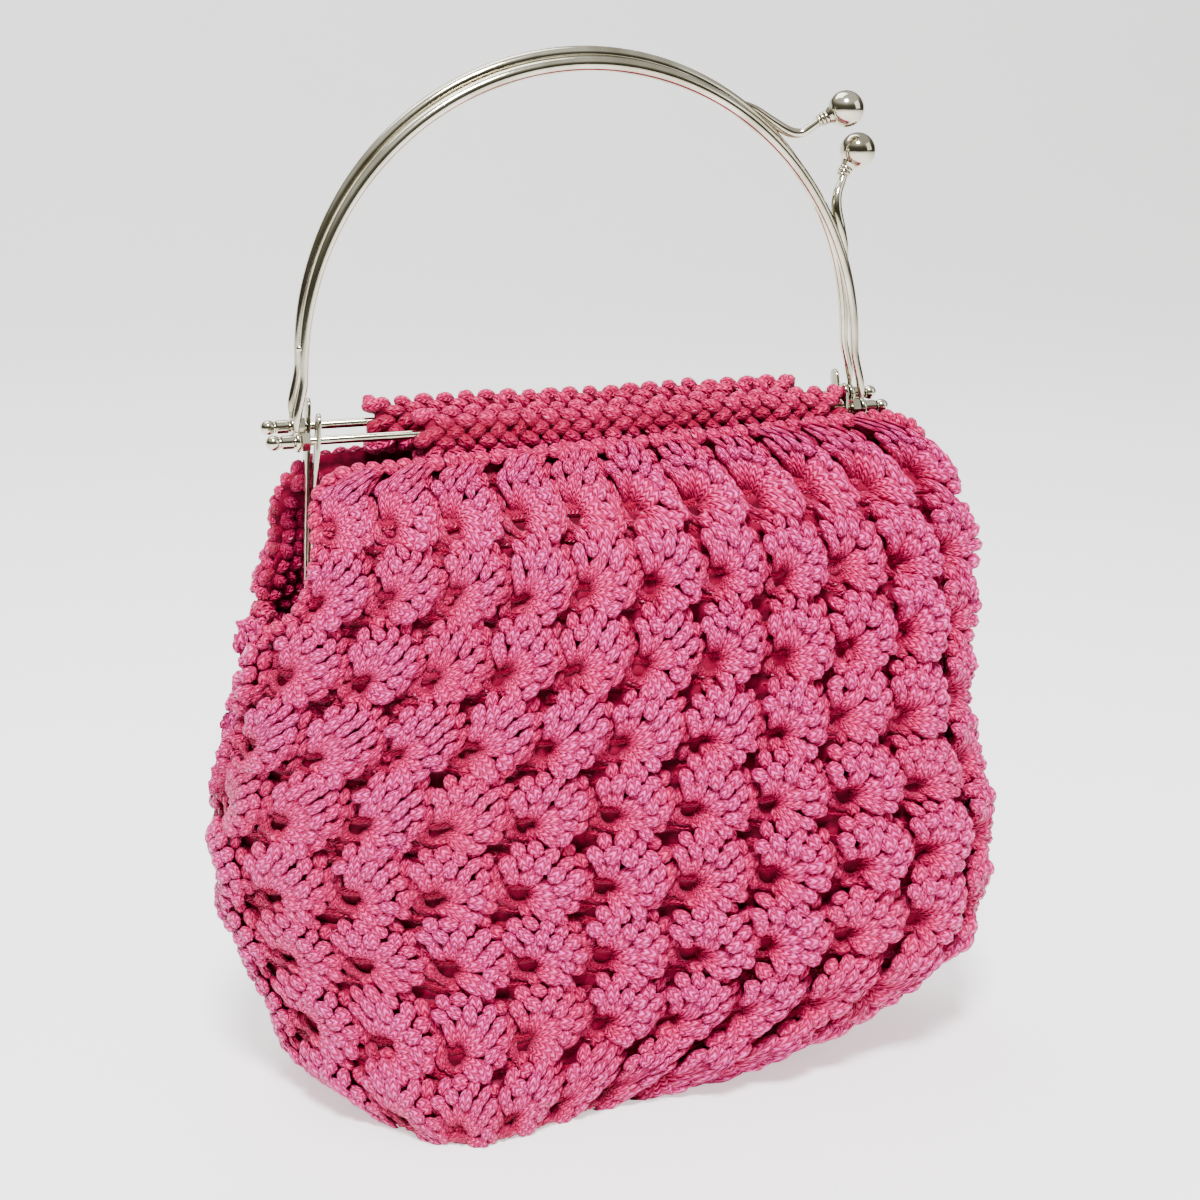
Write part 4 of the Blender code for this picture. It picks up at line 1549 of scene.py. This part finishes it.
@dataclass
class RodCasing:
    """One crocheted casing: rows of plain stitches round a rod."""

    face: Face
    yarn: bpy.types.Material
    shade_backing: bpy.types.Material
    rows: int = 9
    stitch: float = 0.0080
    head: StitchHead = StitchHead(0.0029, 0.0037, 0.0008, 15.0)
    end_inset: float = 0.0022
    inset: float = 0.0030
    core_inset: float = 0.0034
    core_sides: int = 40
    core_lengths: int = 24

    def outline(self, shrink: float, count: int) -> np.ndarray:
        """The casing's cross section.

        Args:
            shrink: How far inside the solid's outline it runs.
            count: How many points it has.

        Returns:
            Y, Z and the outward direction of each point.
        """
        low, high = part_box(f"{self.face.name.lower()}_casing")
        middle = (low + high) / 2
        depth, rise = (high.y - low.y) / 2 - shrink, (high.z - low.z) / 2 - shrink
        turns = np.linspace(0, 2 * np.pi, 400)
        y = depth * np.sign(np.cos(turns)) * np.abs(np.cos(turns)) ** 0.7
        z = rise * np.sign(np.sin(turns)) * np.abs(np.sin(turns)) ** 0.7
        even = resample(np.column_stack([y, z]), count + 1)[:-1]
        out = even / np.array([depth**2, rise**2])
        out /= np.linalg.norm(out, axis=1, keepdims=True)
        return np.column_stack([even + np.array([middle.y, middle.z]), out])

    def ends(self) -> tuple[float, float]:
        """Where the casing's first and last stitches are."""
        low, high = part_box(f"{self.face.name.lower()}_casing")
        return low.x + self.end_inset, high.x - self.end_inset

    def stitches(self) -> None:
        """The rows of stitches and the round ends."""
        word = self.face.name.lower()
        start, end = self.ends()
        maker = Maker(f"{word}_casing_stitches")
        rng = np.random.default_rng(51 + self.face.value)
        for number, (y, z, out_y, out_z) in enumerate(self.outline(self.inset, self.rows)):
            stagger = self.stitch / 2 * (number % 2)
            xs = np.linspace(start + stagger, end - self.stitch / 2 + stagger, 60)
            path = np.column_stack([xs, np.full(60, y), np.full(60, z)])
            path += ripples(path, 0.05, 11)[:, :3] * np.array([0, 0.0003, 0.0004])
            ups = np.tile((0.0, out_y, out_z), (60, 1))
            maker.heads(path, ups, self.head, self.stitch, 24.0 if number % 2 else -18.0, rng)
        for x in (start, end):
            rim = self.outline(self.inset, 48)
            path = np.column_stack([np.full(48, x), rim[:, 0], rim[:, 1]])
            ups = np.column_stack([np.zeros(48), rim[:, 2], rim[:, 3]])
            closed = np.vstack([path, path[:1]])
            maker.heads(closed, np.vstack([ups, ups[:1]]), self.head, 0.0068, 55.0, rng)
        mesh = maker.mesh()
        places = read_places(mesh)
        # Stitches close to the rod get painted shade, the outer ones a lighter tone towards the painted
        # highlight.
        rod_y, rod_z = SIZES.rod(self.face)
        clear = np.hypot(places[:, 1] - rod_y - SHIFT[1], places[:, 2] - rod_z - SHIFT[2])
        set_lift(mesh, np.clip((clear - 0.0035) / 0.009, 0.15, 0.8))
        add_piece(mesh, self.yarn, f"{word}_casing")

    def core(self) -> None:
        """The closed core behind the stitches, with a bore for the rod."""
        word = self.face.name.lower()
        start, end = self.ends()
        core = Maker(f"{word}_casing_core")
        rim = self.outline(self.core_inset, self.core_sides)
        grid = bmesh.ops.create_grid(
            core.bm, x_segments=self.core_sides, y_segments=self.core_lengths, size=0.5
        )["verts"]
        inner = (start + 0.001, end - 0.001)
        for vert in grid:
            spot = round((vert.co.x + 0.5) * self.core_sides) % self.core_sides
            x = inner[0] + (inner[1] - inner[0]) * (0.5 - vert.co.y)
            vert.co = (x, rim[spot, 0], rim[spot, 1])
        bmesh.ops.remove_doubles(core.bm, verts=core.bm.verts, dist=1e-6)
        hole = SIZES.rod_radius + 0.0004
        rod_y, rod_z = SIZES.rod(self.face)
        for x in inner:
            open_edges = [edge for edge in core.bm.edges if edge.is_boundary]
            loop = [edge for edge in open_edges if abs(edge.verts[0].co.x - x) < 1e-6]
            made = bmesh.ops.extrude_edge_only(core.bm, edges=loop)["geom"]
            centre = Vector((x, rod_y + SHIFT[1], rod_z + SHIFT[2]))
            for vert in (item for item in made if isinstance(item, bmesh.types.BMVert)):
                vert.co = centre + (vert.co - centre).normalized() * hole
        bmesh.ops.bridge_loops(core.bm, edges=[edge for edge in core.bm.edges if edge.is_boundary])
        bmesh.ops.recalc_face_normals(core.bm, faces=core.bm.faces)
        # The core takes the backing's dark crimson: painted shade in the gaps between the stitches.
        add_piece(core.mesh(), self.shade_backing, f"{word}_casing")

    def build(self) -> None:
        """Builds the stitches and the core."""
        self.stitches()
        self.core()


# Metal frame


@dataclass(frozen=True)
class FingerPoint:
    """A point of a clasp finger: angle on the hoop, radius and thickness shares, way across."""

    angle: float
    radius: float
    thickness: float
    crossing: float


@dataclass
class Hoop:
    """One hoop with its eyes, its clasp finger and ball, and on the front one a stop stud."""

    face: Face
    nickel: bpy.types.Material
    finger: tuple[FingerPoint, ...]
    ball_radius: float = 0.0068
    ball_offset: float = 0.002
    ring_from_ball: float = 0.0092
    stud_rise: float = 0.033
    stud_radius: float = 0.0013

    def tube_radius(self, angle: float) -> float:
        """Radius of the hoop's tube: thickest at the top, thinnest at the feet."""
        grown = math.sin(angle) ** 0.7 if math.sin(angle) > 0 else 0.0
        return (SIZES.hoop_foot + (SIZES.hoop_top - SIZES.hoop_foot) * grown) / 2

    def depth(self, z: float) -> float:
        """Y of the hoop's line: the hoops lean together at the top.

        Args:
            z: The height.

        Returns:
            The depth.
        """
        foot_y, foot_z = SIZES.rod(self.face)
        top_y = self.face.value * (SIZES.hoop_top + SIZES.gap) / 2
        rise = SIZES.hoop_leg + SIZES.hoop_radius - SIZES.hoop_top / 2
        return foot_y + (top_y - foot_y) * (z - foot_z) / rise

    @property
    def centre(self) -> float:
        """Height of the middle of the hoop's arc."""
        return SIZES.rod(self.face)[1] + SIZES.hoop_leg

    def line(self) -> tuple[np.ndarray, np.ndarray]:
        """Centre line and radii, from the left eye over the top to the right eye.

        Returns:
            Points and radii.
        """
        points = []
        radii = []
        for angle in np.linspace(math.pi, 0, 90):
            radius = self.tube_radius(angle)
            reach = SIZES.hoop_radius - radius
            z = self.centre + reach * math.sin(angle)
            points.append((reach * math.cos(angle), self.depth(z), z))
            radii.append(radius)
        foot = SIZES.hoop_foot / 2
        flat = SIZES.eye_thickness / 2 - SIZES.gap / 2
        for share in np.linspace(0.1, 1.0, 10):
            z = self.centre - SIZES.hoop_leg * share
            x = SIZES.hoop_radius - foot + SIZES.hoop_flare * float(smooth_step(share / 0.8))
            radius = foot + (flat - foot) * float(smooth_step((share - 0.62) / 0.3))
            points = [(-x, self.depth(z), z), *points, (x, self.depth(z), z)]
            radii = [radius, *radii, radius]
        return np.array(points) + SHIFT, np.array(radii)

    def finger_line(self) -> tuple[np.ndarray, np.ndarray]:
        """Centre line and radii of the clasp finger.

        Returns:
            Points and radii.
        """
        rows = []
        for point in self.finger:
            turn = math.radians(point.angle)
            x = SIZES.hoop_radius * point.radius * math.cos(turn)
            z = self.centre + SIZES.hoop_radius * point.radius * math.sin(turn)
            own = self.depth(z)
            y = own + (-self.face.value * self.ball_offset - own) * point.crossing
            rows.append((x, y, z, SIZES.hoop_top / 2 * point.thickness))
        line = curved(np.array(rows), 34)
        return line[:, :3] + SHIFT, line[:, 3]

    def clasp(self, maker: Maker) -> None:
        """The clasp finger with its rings, its cup and its ball.

        Args:
            maker: Where they are made.
        """
        stem, thick = self.finger_line()
        maker.tube(stem, thick, sides=16, up=(0.0, -1.0, 0.0))
        end = Vector(stem[-1])
        back = (Vector(stem[-5]) - end).normalized()
        maker.ball(end, self.ball_radius, 40)
        for step, radius in ((-0.0022, 0.0021), (-0.0008, 0.0026), (0.0007, 0.0026), (0.0020, 0.0021)):
            middle = end + back * (self.ring_from_ball + step)
            maker.bar(middle - back * 0.00065, middle + back * 0.00065, radius, 28, 0.0004)
        cup = [(0.0, 0.0016), (0.0026, 0.0012), (0.0034, 0.0), (0.0028, -0.0010), (0.0, -0.0012)]
        maker.turned(cup, standing(end + back * (self.ball_radius - 0.0004), back))

    def eyes(self, maker: Maker) -> None:
        """The two eyes that the rod passes.

        Args:
            maker: Where they are made.
        """
        y, z = SIZES.rod(self.face)
        bore = SIZES.rod_radius + SIZES.gap
        profile = ring_profile(SIZES.eye_radius, bore, SIZES.eye_thickness / 2, 0.0003)
        for side in Side:
            middle = Vector((side.value * SIZES.eye_middle, y, z)) + Vector(SHIFT)
            maker.turned(profile, Matrix.Translation(middle) @ Matrix.Rotation(math.pi / 2, 4, "Y"))

    def build(self) -> None:
        """Builds the hoop as one soldered piece."""
        maker = Maker(f"{self.face.name.lower()}_hoop_bright")
        points, radii = self.line()
        maker.tube(points, radii, sides=20, up=(0.0, -1.0, 0.0))
        self.clasp(maker)
        if self.face is Face.FRONT:
            z = SIZES.rod(self.face)[1] + self.stud_rise
            outside = math.sqrt(SIZES.hoop_radius**2 - (self.stud_rise - SIZES.hoop_leg) ** 2)
            maker.ball(Vector((-outside, self.depth(z), z)) + Vector(SHIFT), self.stud_radius, 20)
        self.eyes(maker)
        mesh = maker.mesh()
        mesh.set_sharp_from_angle(angle=math.radians(45))
        add_piece(mesh, self.nickel, f"{self.face.name.lower()}_hoop")


@dataclass
class RodEnds:
    """A rod with the nuts, collars and ball nuts on its two ends."""

    face: Face
    nickel: bpy.types.Material
    collar_radius: float = 0.0025
    ball_radius: float = 0.00275
    flat_share: float = 0.8
    bore_depth: float = 0.003

    def between(self, node: str) -> tuple[Vector, Vector]:
        """Ends of a node's axis along X, on the rod's line.

        Args:
            node: The CAD node.

        Returns:
            Its left and right end.
        """
        low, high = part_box(node)
        middle = (low + high) / 2
        return Vector((low.x, middle.y, middle.z)), Vector((high.x, middle.y, middle.z))

    def ring(self, maker: Maker, node: str, radius: float, bore: float, steps: int, edge: float) -> None:
        """A turned ring with a bore and eased rims.

        Args:
            maker: Where it is made.
            node: The CAD node that it stands for.
            radius: Outer radius.
            bore: Radius of the bore.
            steps: Sides, 6 for a hexagon.
            edge: Width of the eased rims.
        """
        start, end = self.between(node)
        half = (end.x - start.x) / 2
        turn = Matrix.Rotation(math.pi / 2, 4, "Y")
        if steps == 6:
            turn = turn @ Matrix.Rotation(math.pi / 6, 4, "Z")
        profile = ring_profile(radius, bore, half, edge)
        maker.turned(profile, Matrix.Translation((start + end) / 2) @ turn, steps)

    def ball_nut(self, maker: Maker, node: str, side: Side, bore: float) -> None:
        """A ball nut with a flat towards the collar and a blind bore.

        Args:
            maker: Where it is made.
            node: The CAD node that it stands for.
            side: The rod's end.
            bore: Radius of the bore.
        """
        low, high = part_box(node)
        outer = high.x if side is Side.RIGHT else low.x
        middle = Vector((outer - side.value * self.ball_radius, (low.y + high.y) / 2, (low.z + high.z) / 2))
        turns = np.linspace(math.pi / 2, -math.asin(self.flat_share), 14)
        profile = [(self.ball_radius * math.cos(turn), self.ball_radius * math.sin(turn)) for turn in turns]
        profile[0] = (0.0, self.ball_radius)
        flat = -self.ball_radius * self.flat_share
        profile[-1] = (max(bore + 0.0003, profile[-1][0]), flat)
        profile += [(bore, flat), (bore, flat + self.bore_depth), (0.0, flat + self.bore_depth)]
        outwards = Matrix.Rotation(side.value * math.pi / 2, 4, "Y")
        maker.turned(profile, Matrix.Translation(middle) @ outwards, 32)

    def build(self) -> None:
        """Builds the rod and its small pieces, each as a piece of its own."""
        word = self.face.name.lower()
        start, end = self.between(f"{word}_rod")
        maker = Maker(f"{word}_rod_bright")
        maker.bar(start, end, SIZES.rod_radius, 28, 0.0003)
        self.add(maker, f"{word}_rod")
        bore = SIZES.rod_radius + SIZES.gap
        nut_radius = SIZES.nut_across / 2 / math.cos(math.pi / 6)
        for side in Side:
            name = f"{side.name.lower()}_{word}"
            maker = Maker(name + "_hex_nut_bright")
            self.ring(maker, name + "_hex_nut", nut_radius, bore, 6, 0.0003)
            self.add(maker, name + "_hex_nut")
            maker = Maker(name + "_collar_bright")
            self.ring(maker, name + "_collar", self.collar_radius, bore, 32, 0.0005)
            self.add(maker, name + "_collar")
            maker = Maker(name + "_ball_nut_bright")
            self.ball_nut(maker, name + "_ball_nut", side, bore)
            self.add(maker, name + "_ball_nut")

    def add(self, maker: Maker, node: str) -> None:
        """Finishes a small piece.

        Args:
            maker: The piece's maker.
            node: The CAD node that it stands for.
        """
        mesh = maker.mesh()
        mesh.set_sharp_from_angle(angle=math.radians(35))
        add_piece(mesh, self.nickel, node)


@dataclass
class HingedLegs:
    """The two flat legs of one side and the pin that they hang on."""

    side: Side
    nickel: bpy.types.Material
    pin_radius: float = 0.0012
    pin_head: float = 0.0026
    pin_head_length: float = 0.0013
    rivet_rise: float = 0.013
    rivet_radius: float = 0.0011

    def frame(self) -> tuple[Vector, dict[Face, Vector], Vector]:
        """The hinge point, the way up each leg and the plates' normal.

        Returns:
            The three of them.
        """
        x = self.side.value * (SIZES.leg_middle + SIZES.leg_splay)
        hinge = Vector((x, 0.0, SIZES.rod_height - SIZES.leg_length))
        tops = {}
        for face in Face:
            y, z = SIZES.rod(face)
            tops[face] = Vector((self.side.value * SIZES.leg_middle, y, z)) - hinge
        normal = tops[Face.FRONT].cross(tops[Face.BACK]).normalized()
        if normal.x * self.side.value < 0:
            normal = -normal
        return hinge + Vector(SHIFT), tops, normal

    def leg(self, face: Face) -> None:
        """One leg: a strip with round ends, softened edges and, in front, a rivet.

        Args:
            face: Which leg.
        """
        hinge, tops, normal = self.frame()
        up = tops[face].normalized()
        across = up.cross(normal)
        half = SIZES.leg_width / 2
        length = tops[face].length + SIZES.leg_above - half
        name = f"{self.side.name.lower()}_{face.name.lower()}_leg"
        maker = Maker(name + "_bright")
        disc = bmesh.ops.create_circle(maker.bm, cap_ends=True, segments=32, radius=half)["verts"]
        for vert in disc:
            if vert.co.y > 1e-6:
                vert.co.y += length
        top_face = maker.bm.faces[:]
        bmesh.ops.translate(maker.bm, verts=disc, vec=(0, 0, -SIZES.leg_thickness / 2))
        made = bmesh.ops.extrude_face_region(maker.bm, geom=top_face)["geom"]
        raised = [item for item in made if isinstance(item, bmesh.types.BMVert)]
        bmesh.ops.translate(maker.bm, verts=raised, vec=(0, 0, SIZES.leg_thickness))
        bmesh.ops.recalc_face_normals(maker.bm, faces=maker.bm.faces)
        bmesh.ops.bevel(
            maker.bm, geom=end_rims(maker.bm.edges), offset=0.0003, segments=2, affect="EDGES", profile=0.5,
            material=-1,
        )
        place = Matrix((across, up, normal)).transposed().to_4x4()
        outer = face.value * (SIZES.leg_thickness + SIZES.gap) / 2
        place.translation = hinge + normal * outer
        bmesh.ops.transform(maker.bm, matrix=place, verts=maker.bm.verts)
        if face is Face.FRONT:
            foot = hinge + normal * outer + up * self.rivet_rise
            rim = self.rivet_radius
            dome = [(0.0, 0.0010), (0.0005, 0.0009), (0.0009, 0.0006), (rim, 0.0), (0.0, -0.0003)]
            maker.turned(dome, standing(foot - normal * SIZES.leg_thickness / 2, -normal), 20)
        mesh = maker.mesh()
        mesh.set_sharp_from_angle(angle=math.radians(35))
        add_piece(mesh, self.nickel, name)

    def pin(self) -> None:
        """The rivet through both legs, with domed heads."""
        hinge, _, normal = self.frame()
        inner = SIZES.leg_stack / 2 + SIZES.gap
        outer = inner + self.pin_head_length
        head = self.pin_head
        rim = [
            (0.0, outer),
            (head * 0.45, outer - 0.00008),
            (head * 0.8, outer - 0.0004),
            (head, inner + 0.0004),
            (head * 0.97, inner),
            (self.pin_radius, inner),
        ]
        profile = rim + [(radius, -height) for radius, height in reversed(rim)]
        name = f"{self.side.name.lower()}_hinge_pin"
        maker = Maker(name + "_bright")
        maker.turned(profile, standing(hinge, normal), 28)
        mesh = maker.mesh()
        mesh.set_sharp_from_angle(angle=math.radians(50))
        add_piece(mesh, self.nickel, name)

    def build(self) -> None:
        """Builds both legs and the pin."""
        for face in Face:
            self.leg(face)
        self.pin()


BACK_FINGER = (
    FingerPoint(56.0, 0.985, 0.30, 0.0),
    FingerPoint(52.0, 1.000, 0.55, 0.0),
    FingerPoint(47.0, 1.012, 0.72, 0.0),
    FingerPoint(43.5, 1.030, 0.76, 0.1),
    FingerPoint(41.8, 1.060, 0.66, 0.3),
    FingerPoint(41.5, 1.105, 0.56, 0.6),
    FingerPoint(41.2, 1.150, 0.56, 0.85),
    FingerPoint(40.1, 1.222, 0.56, 1.0),
)
FRONT_FINGER = (
    FingerPoint(17.0, 0.985, 0.30, 0.0),
    FingerPoint(20.5, 1.000, 0.55, 0.0),
    FingerPoint(24.5, 1.010, 0.72, 0.0),
    FingerPoint(28.0, 1.026, 0.76, 0.1),
    FingerPoint(30.2, 1.056, 0.66, 0.3),
    FingerPoint(31.4, 1.095, 0.56, 0.6),
    FingerPoint(32.6, 1.135, 0.56, 0.85),
    FingerPoint(34.0, 1.208, 0.56, 1.0),
)


# Studio


@dataclass
class Studio:
    """The camera at the photograph's angle, a pale sweep and soft lights."""

    eye: tuple[float, float, float] = (-0.2236, -0.7039, 0.4020)
    pitch: float = 16.0
    azimuth: float = -18.0
    lens: float = 60.0
    dark: Colour = (0.10, 0.095, 0.075)
    olive: Colour = (0.22, 0.21, 0.16)
    bright: Colour = (1.0, 0.99, 0.97)
    world_strength: float = 0.85

    def camera(self) -> None:
        """Places the camera."""
        data = bpy.data.cameras.new("camera")
        data.lens = self.lens
        data.sensor_width = 36.0
        data.clip_start = 0.01
        item = bpy.data.objects.new("camera", data)
        item.location = Vector(self.eye) + Vector((SHIFT[0], 0.0, 0.0))
        item.rotation_euler = (math.radians(90 - self.pitch), 0.0, math.radians(self.azimuth))
        bpy.context.scene.collection.objects.link(item)
        bpy.context.scene.camera = item

    def sweep(self) -> None:
        """A pale floor that curves up far behind the bag."""
        bm = bmesh.new()
        bmesh.ops.create_grid(bm, x_segments=24, y_segments=60, size=4.0)
        for vert in bm.verts:
            if vert.co.y > 2.0:
                turn = min((vert.co.y - 2.0) / 1.0, math.pi / 2)
                rest = max(vert.co.y - 2.0 - math.pi / 2, 0.0)
                vert.co.z = 1 - math.cos(turn) + rest
                vert.co.y = 2.0 + math.sin(turn)
        mesh = bpy.data.meshes.new("floor")
        bm.to_mesh(mesh)
        bm.free()
        mesh.shade_smooth()
        mesh.materials.append(PalePaper().material())
        floor = bpy.data.objects.new("floor", mesh)
        bpy.context.scene.collection.objects.link(floor)

    def area(
        self, name: str, place: tuple[float, float, float], size: float, power: float, colour: Colour
    ) -> None:
        """One soft light that points at the bag.

        Args:
            name: The light's name.
            place: Where it hangs.
            size: Width of its square face.
            power: Its power in watts.
            colour: Its colour.
        """
        data = bpy.data.lights.new(name, "AREA")
        data.size = size
        data.energy = power
        data.color = colour
        item = bpy.data.objects.new(name, data)
        item.location = place
        toward = Vector((0.0, 0.0, 0.17)) - Vector(place)
        item.rotation_euler = toward.to_track_quat("-Z", "Y").to_euler()
        bpy.context.scene.collection.objects.link(item)

    def lights(self) -> None:
        """A window high in front, a weak light on the right and a wide one above and behind."""
        self.area("window", (-0.30, -0.95, 1.80), 0.40, 96.0, (1.0, 0.97, 1.0))
        self.area("fill", (1.4, -0.8, 0.9), 1.0, 8.0, (1.0, 0.98, 0.98))
        self.area("top", (-0.3, 0.7, 1.9), 1.2, 30.0, (1.0, 1.0, 1.0))

    def surroundings(self) -> None:
        """A world that is bright above, olive at the horizon and dark below, as the metal reflects it."""
        world = bpy.data.worlds.new("studio")
        world.use_nodes = True
        nodes, links = world.node_tree.nodes, world.node_tree.links
        place = nodes.new("ShaderNodeTexCoord")
        split = nodes.new("ShaderNodeSeparateXYZ")
        links.new(place.outputs["Generated"], split.inputs[0])
        ramp = nodes.new("ShaderNodeValToRGB")
        stops = ((0.0, self.dark), (0.20, self.dark), (0.42, self.olive), (0.66, self.bright))
        points = ramp.color_ramp.elements
        while len(points) < len(stops):
            points.new(0.5)
        for point, (spot, colour) in zip(points, stops):
            point.position = spot
            point.color = (*colour, 1.0)
        links.new(split.outputs[2], ramp.inputs[0])
        back = nodes["Background"]
        links.new(ramp.outputs[0], back.inputs[0])
        back.inputs[1].default_value = self.world_strength
        bpy.context.scene.world = world

    def build(self) -> None:
        """Sets the whole studio up."""
        self.camera()
        self.sweep()
        self.lights()
        self.surroundings()


def main() -> None:
    """Builds the bag's looks."""
    logging.basicConfig(level=logging.INFO, format="%(name)s %(message)s")
    Studio().build()
    yarn = KnittedCord().material()
    shade_backing = ShadeBacking().material()
    nickel = PolishedNickel().material()
    CrochetBody(BagShape(), yarn, shade_backing).build()
    for face in Face:
        RodCasing(face, yarn, shade_backing).build()
        Hoop(face, nickel, FRONT_FINGER if face is Face.FRONT else BACK_FINGER).build()
        RodEnds(face, nickel).build()
    for side in Side:
        HingedLegs(side, nickel).build()


if __name__ == "__main__":
    main()
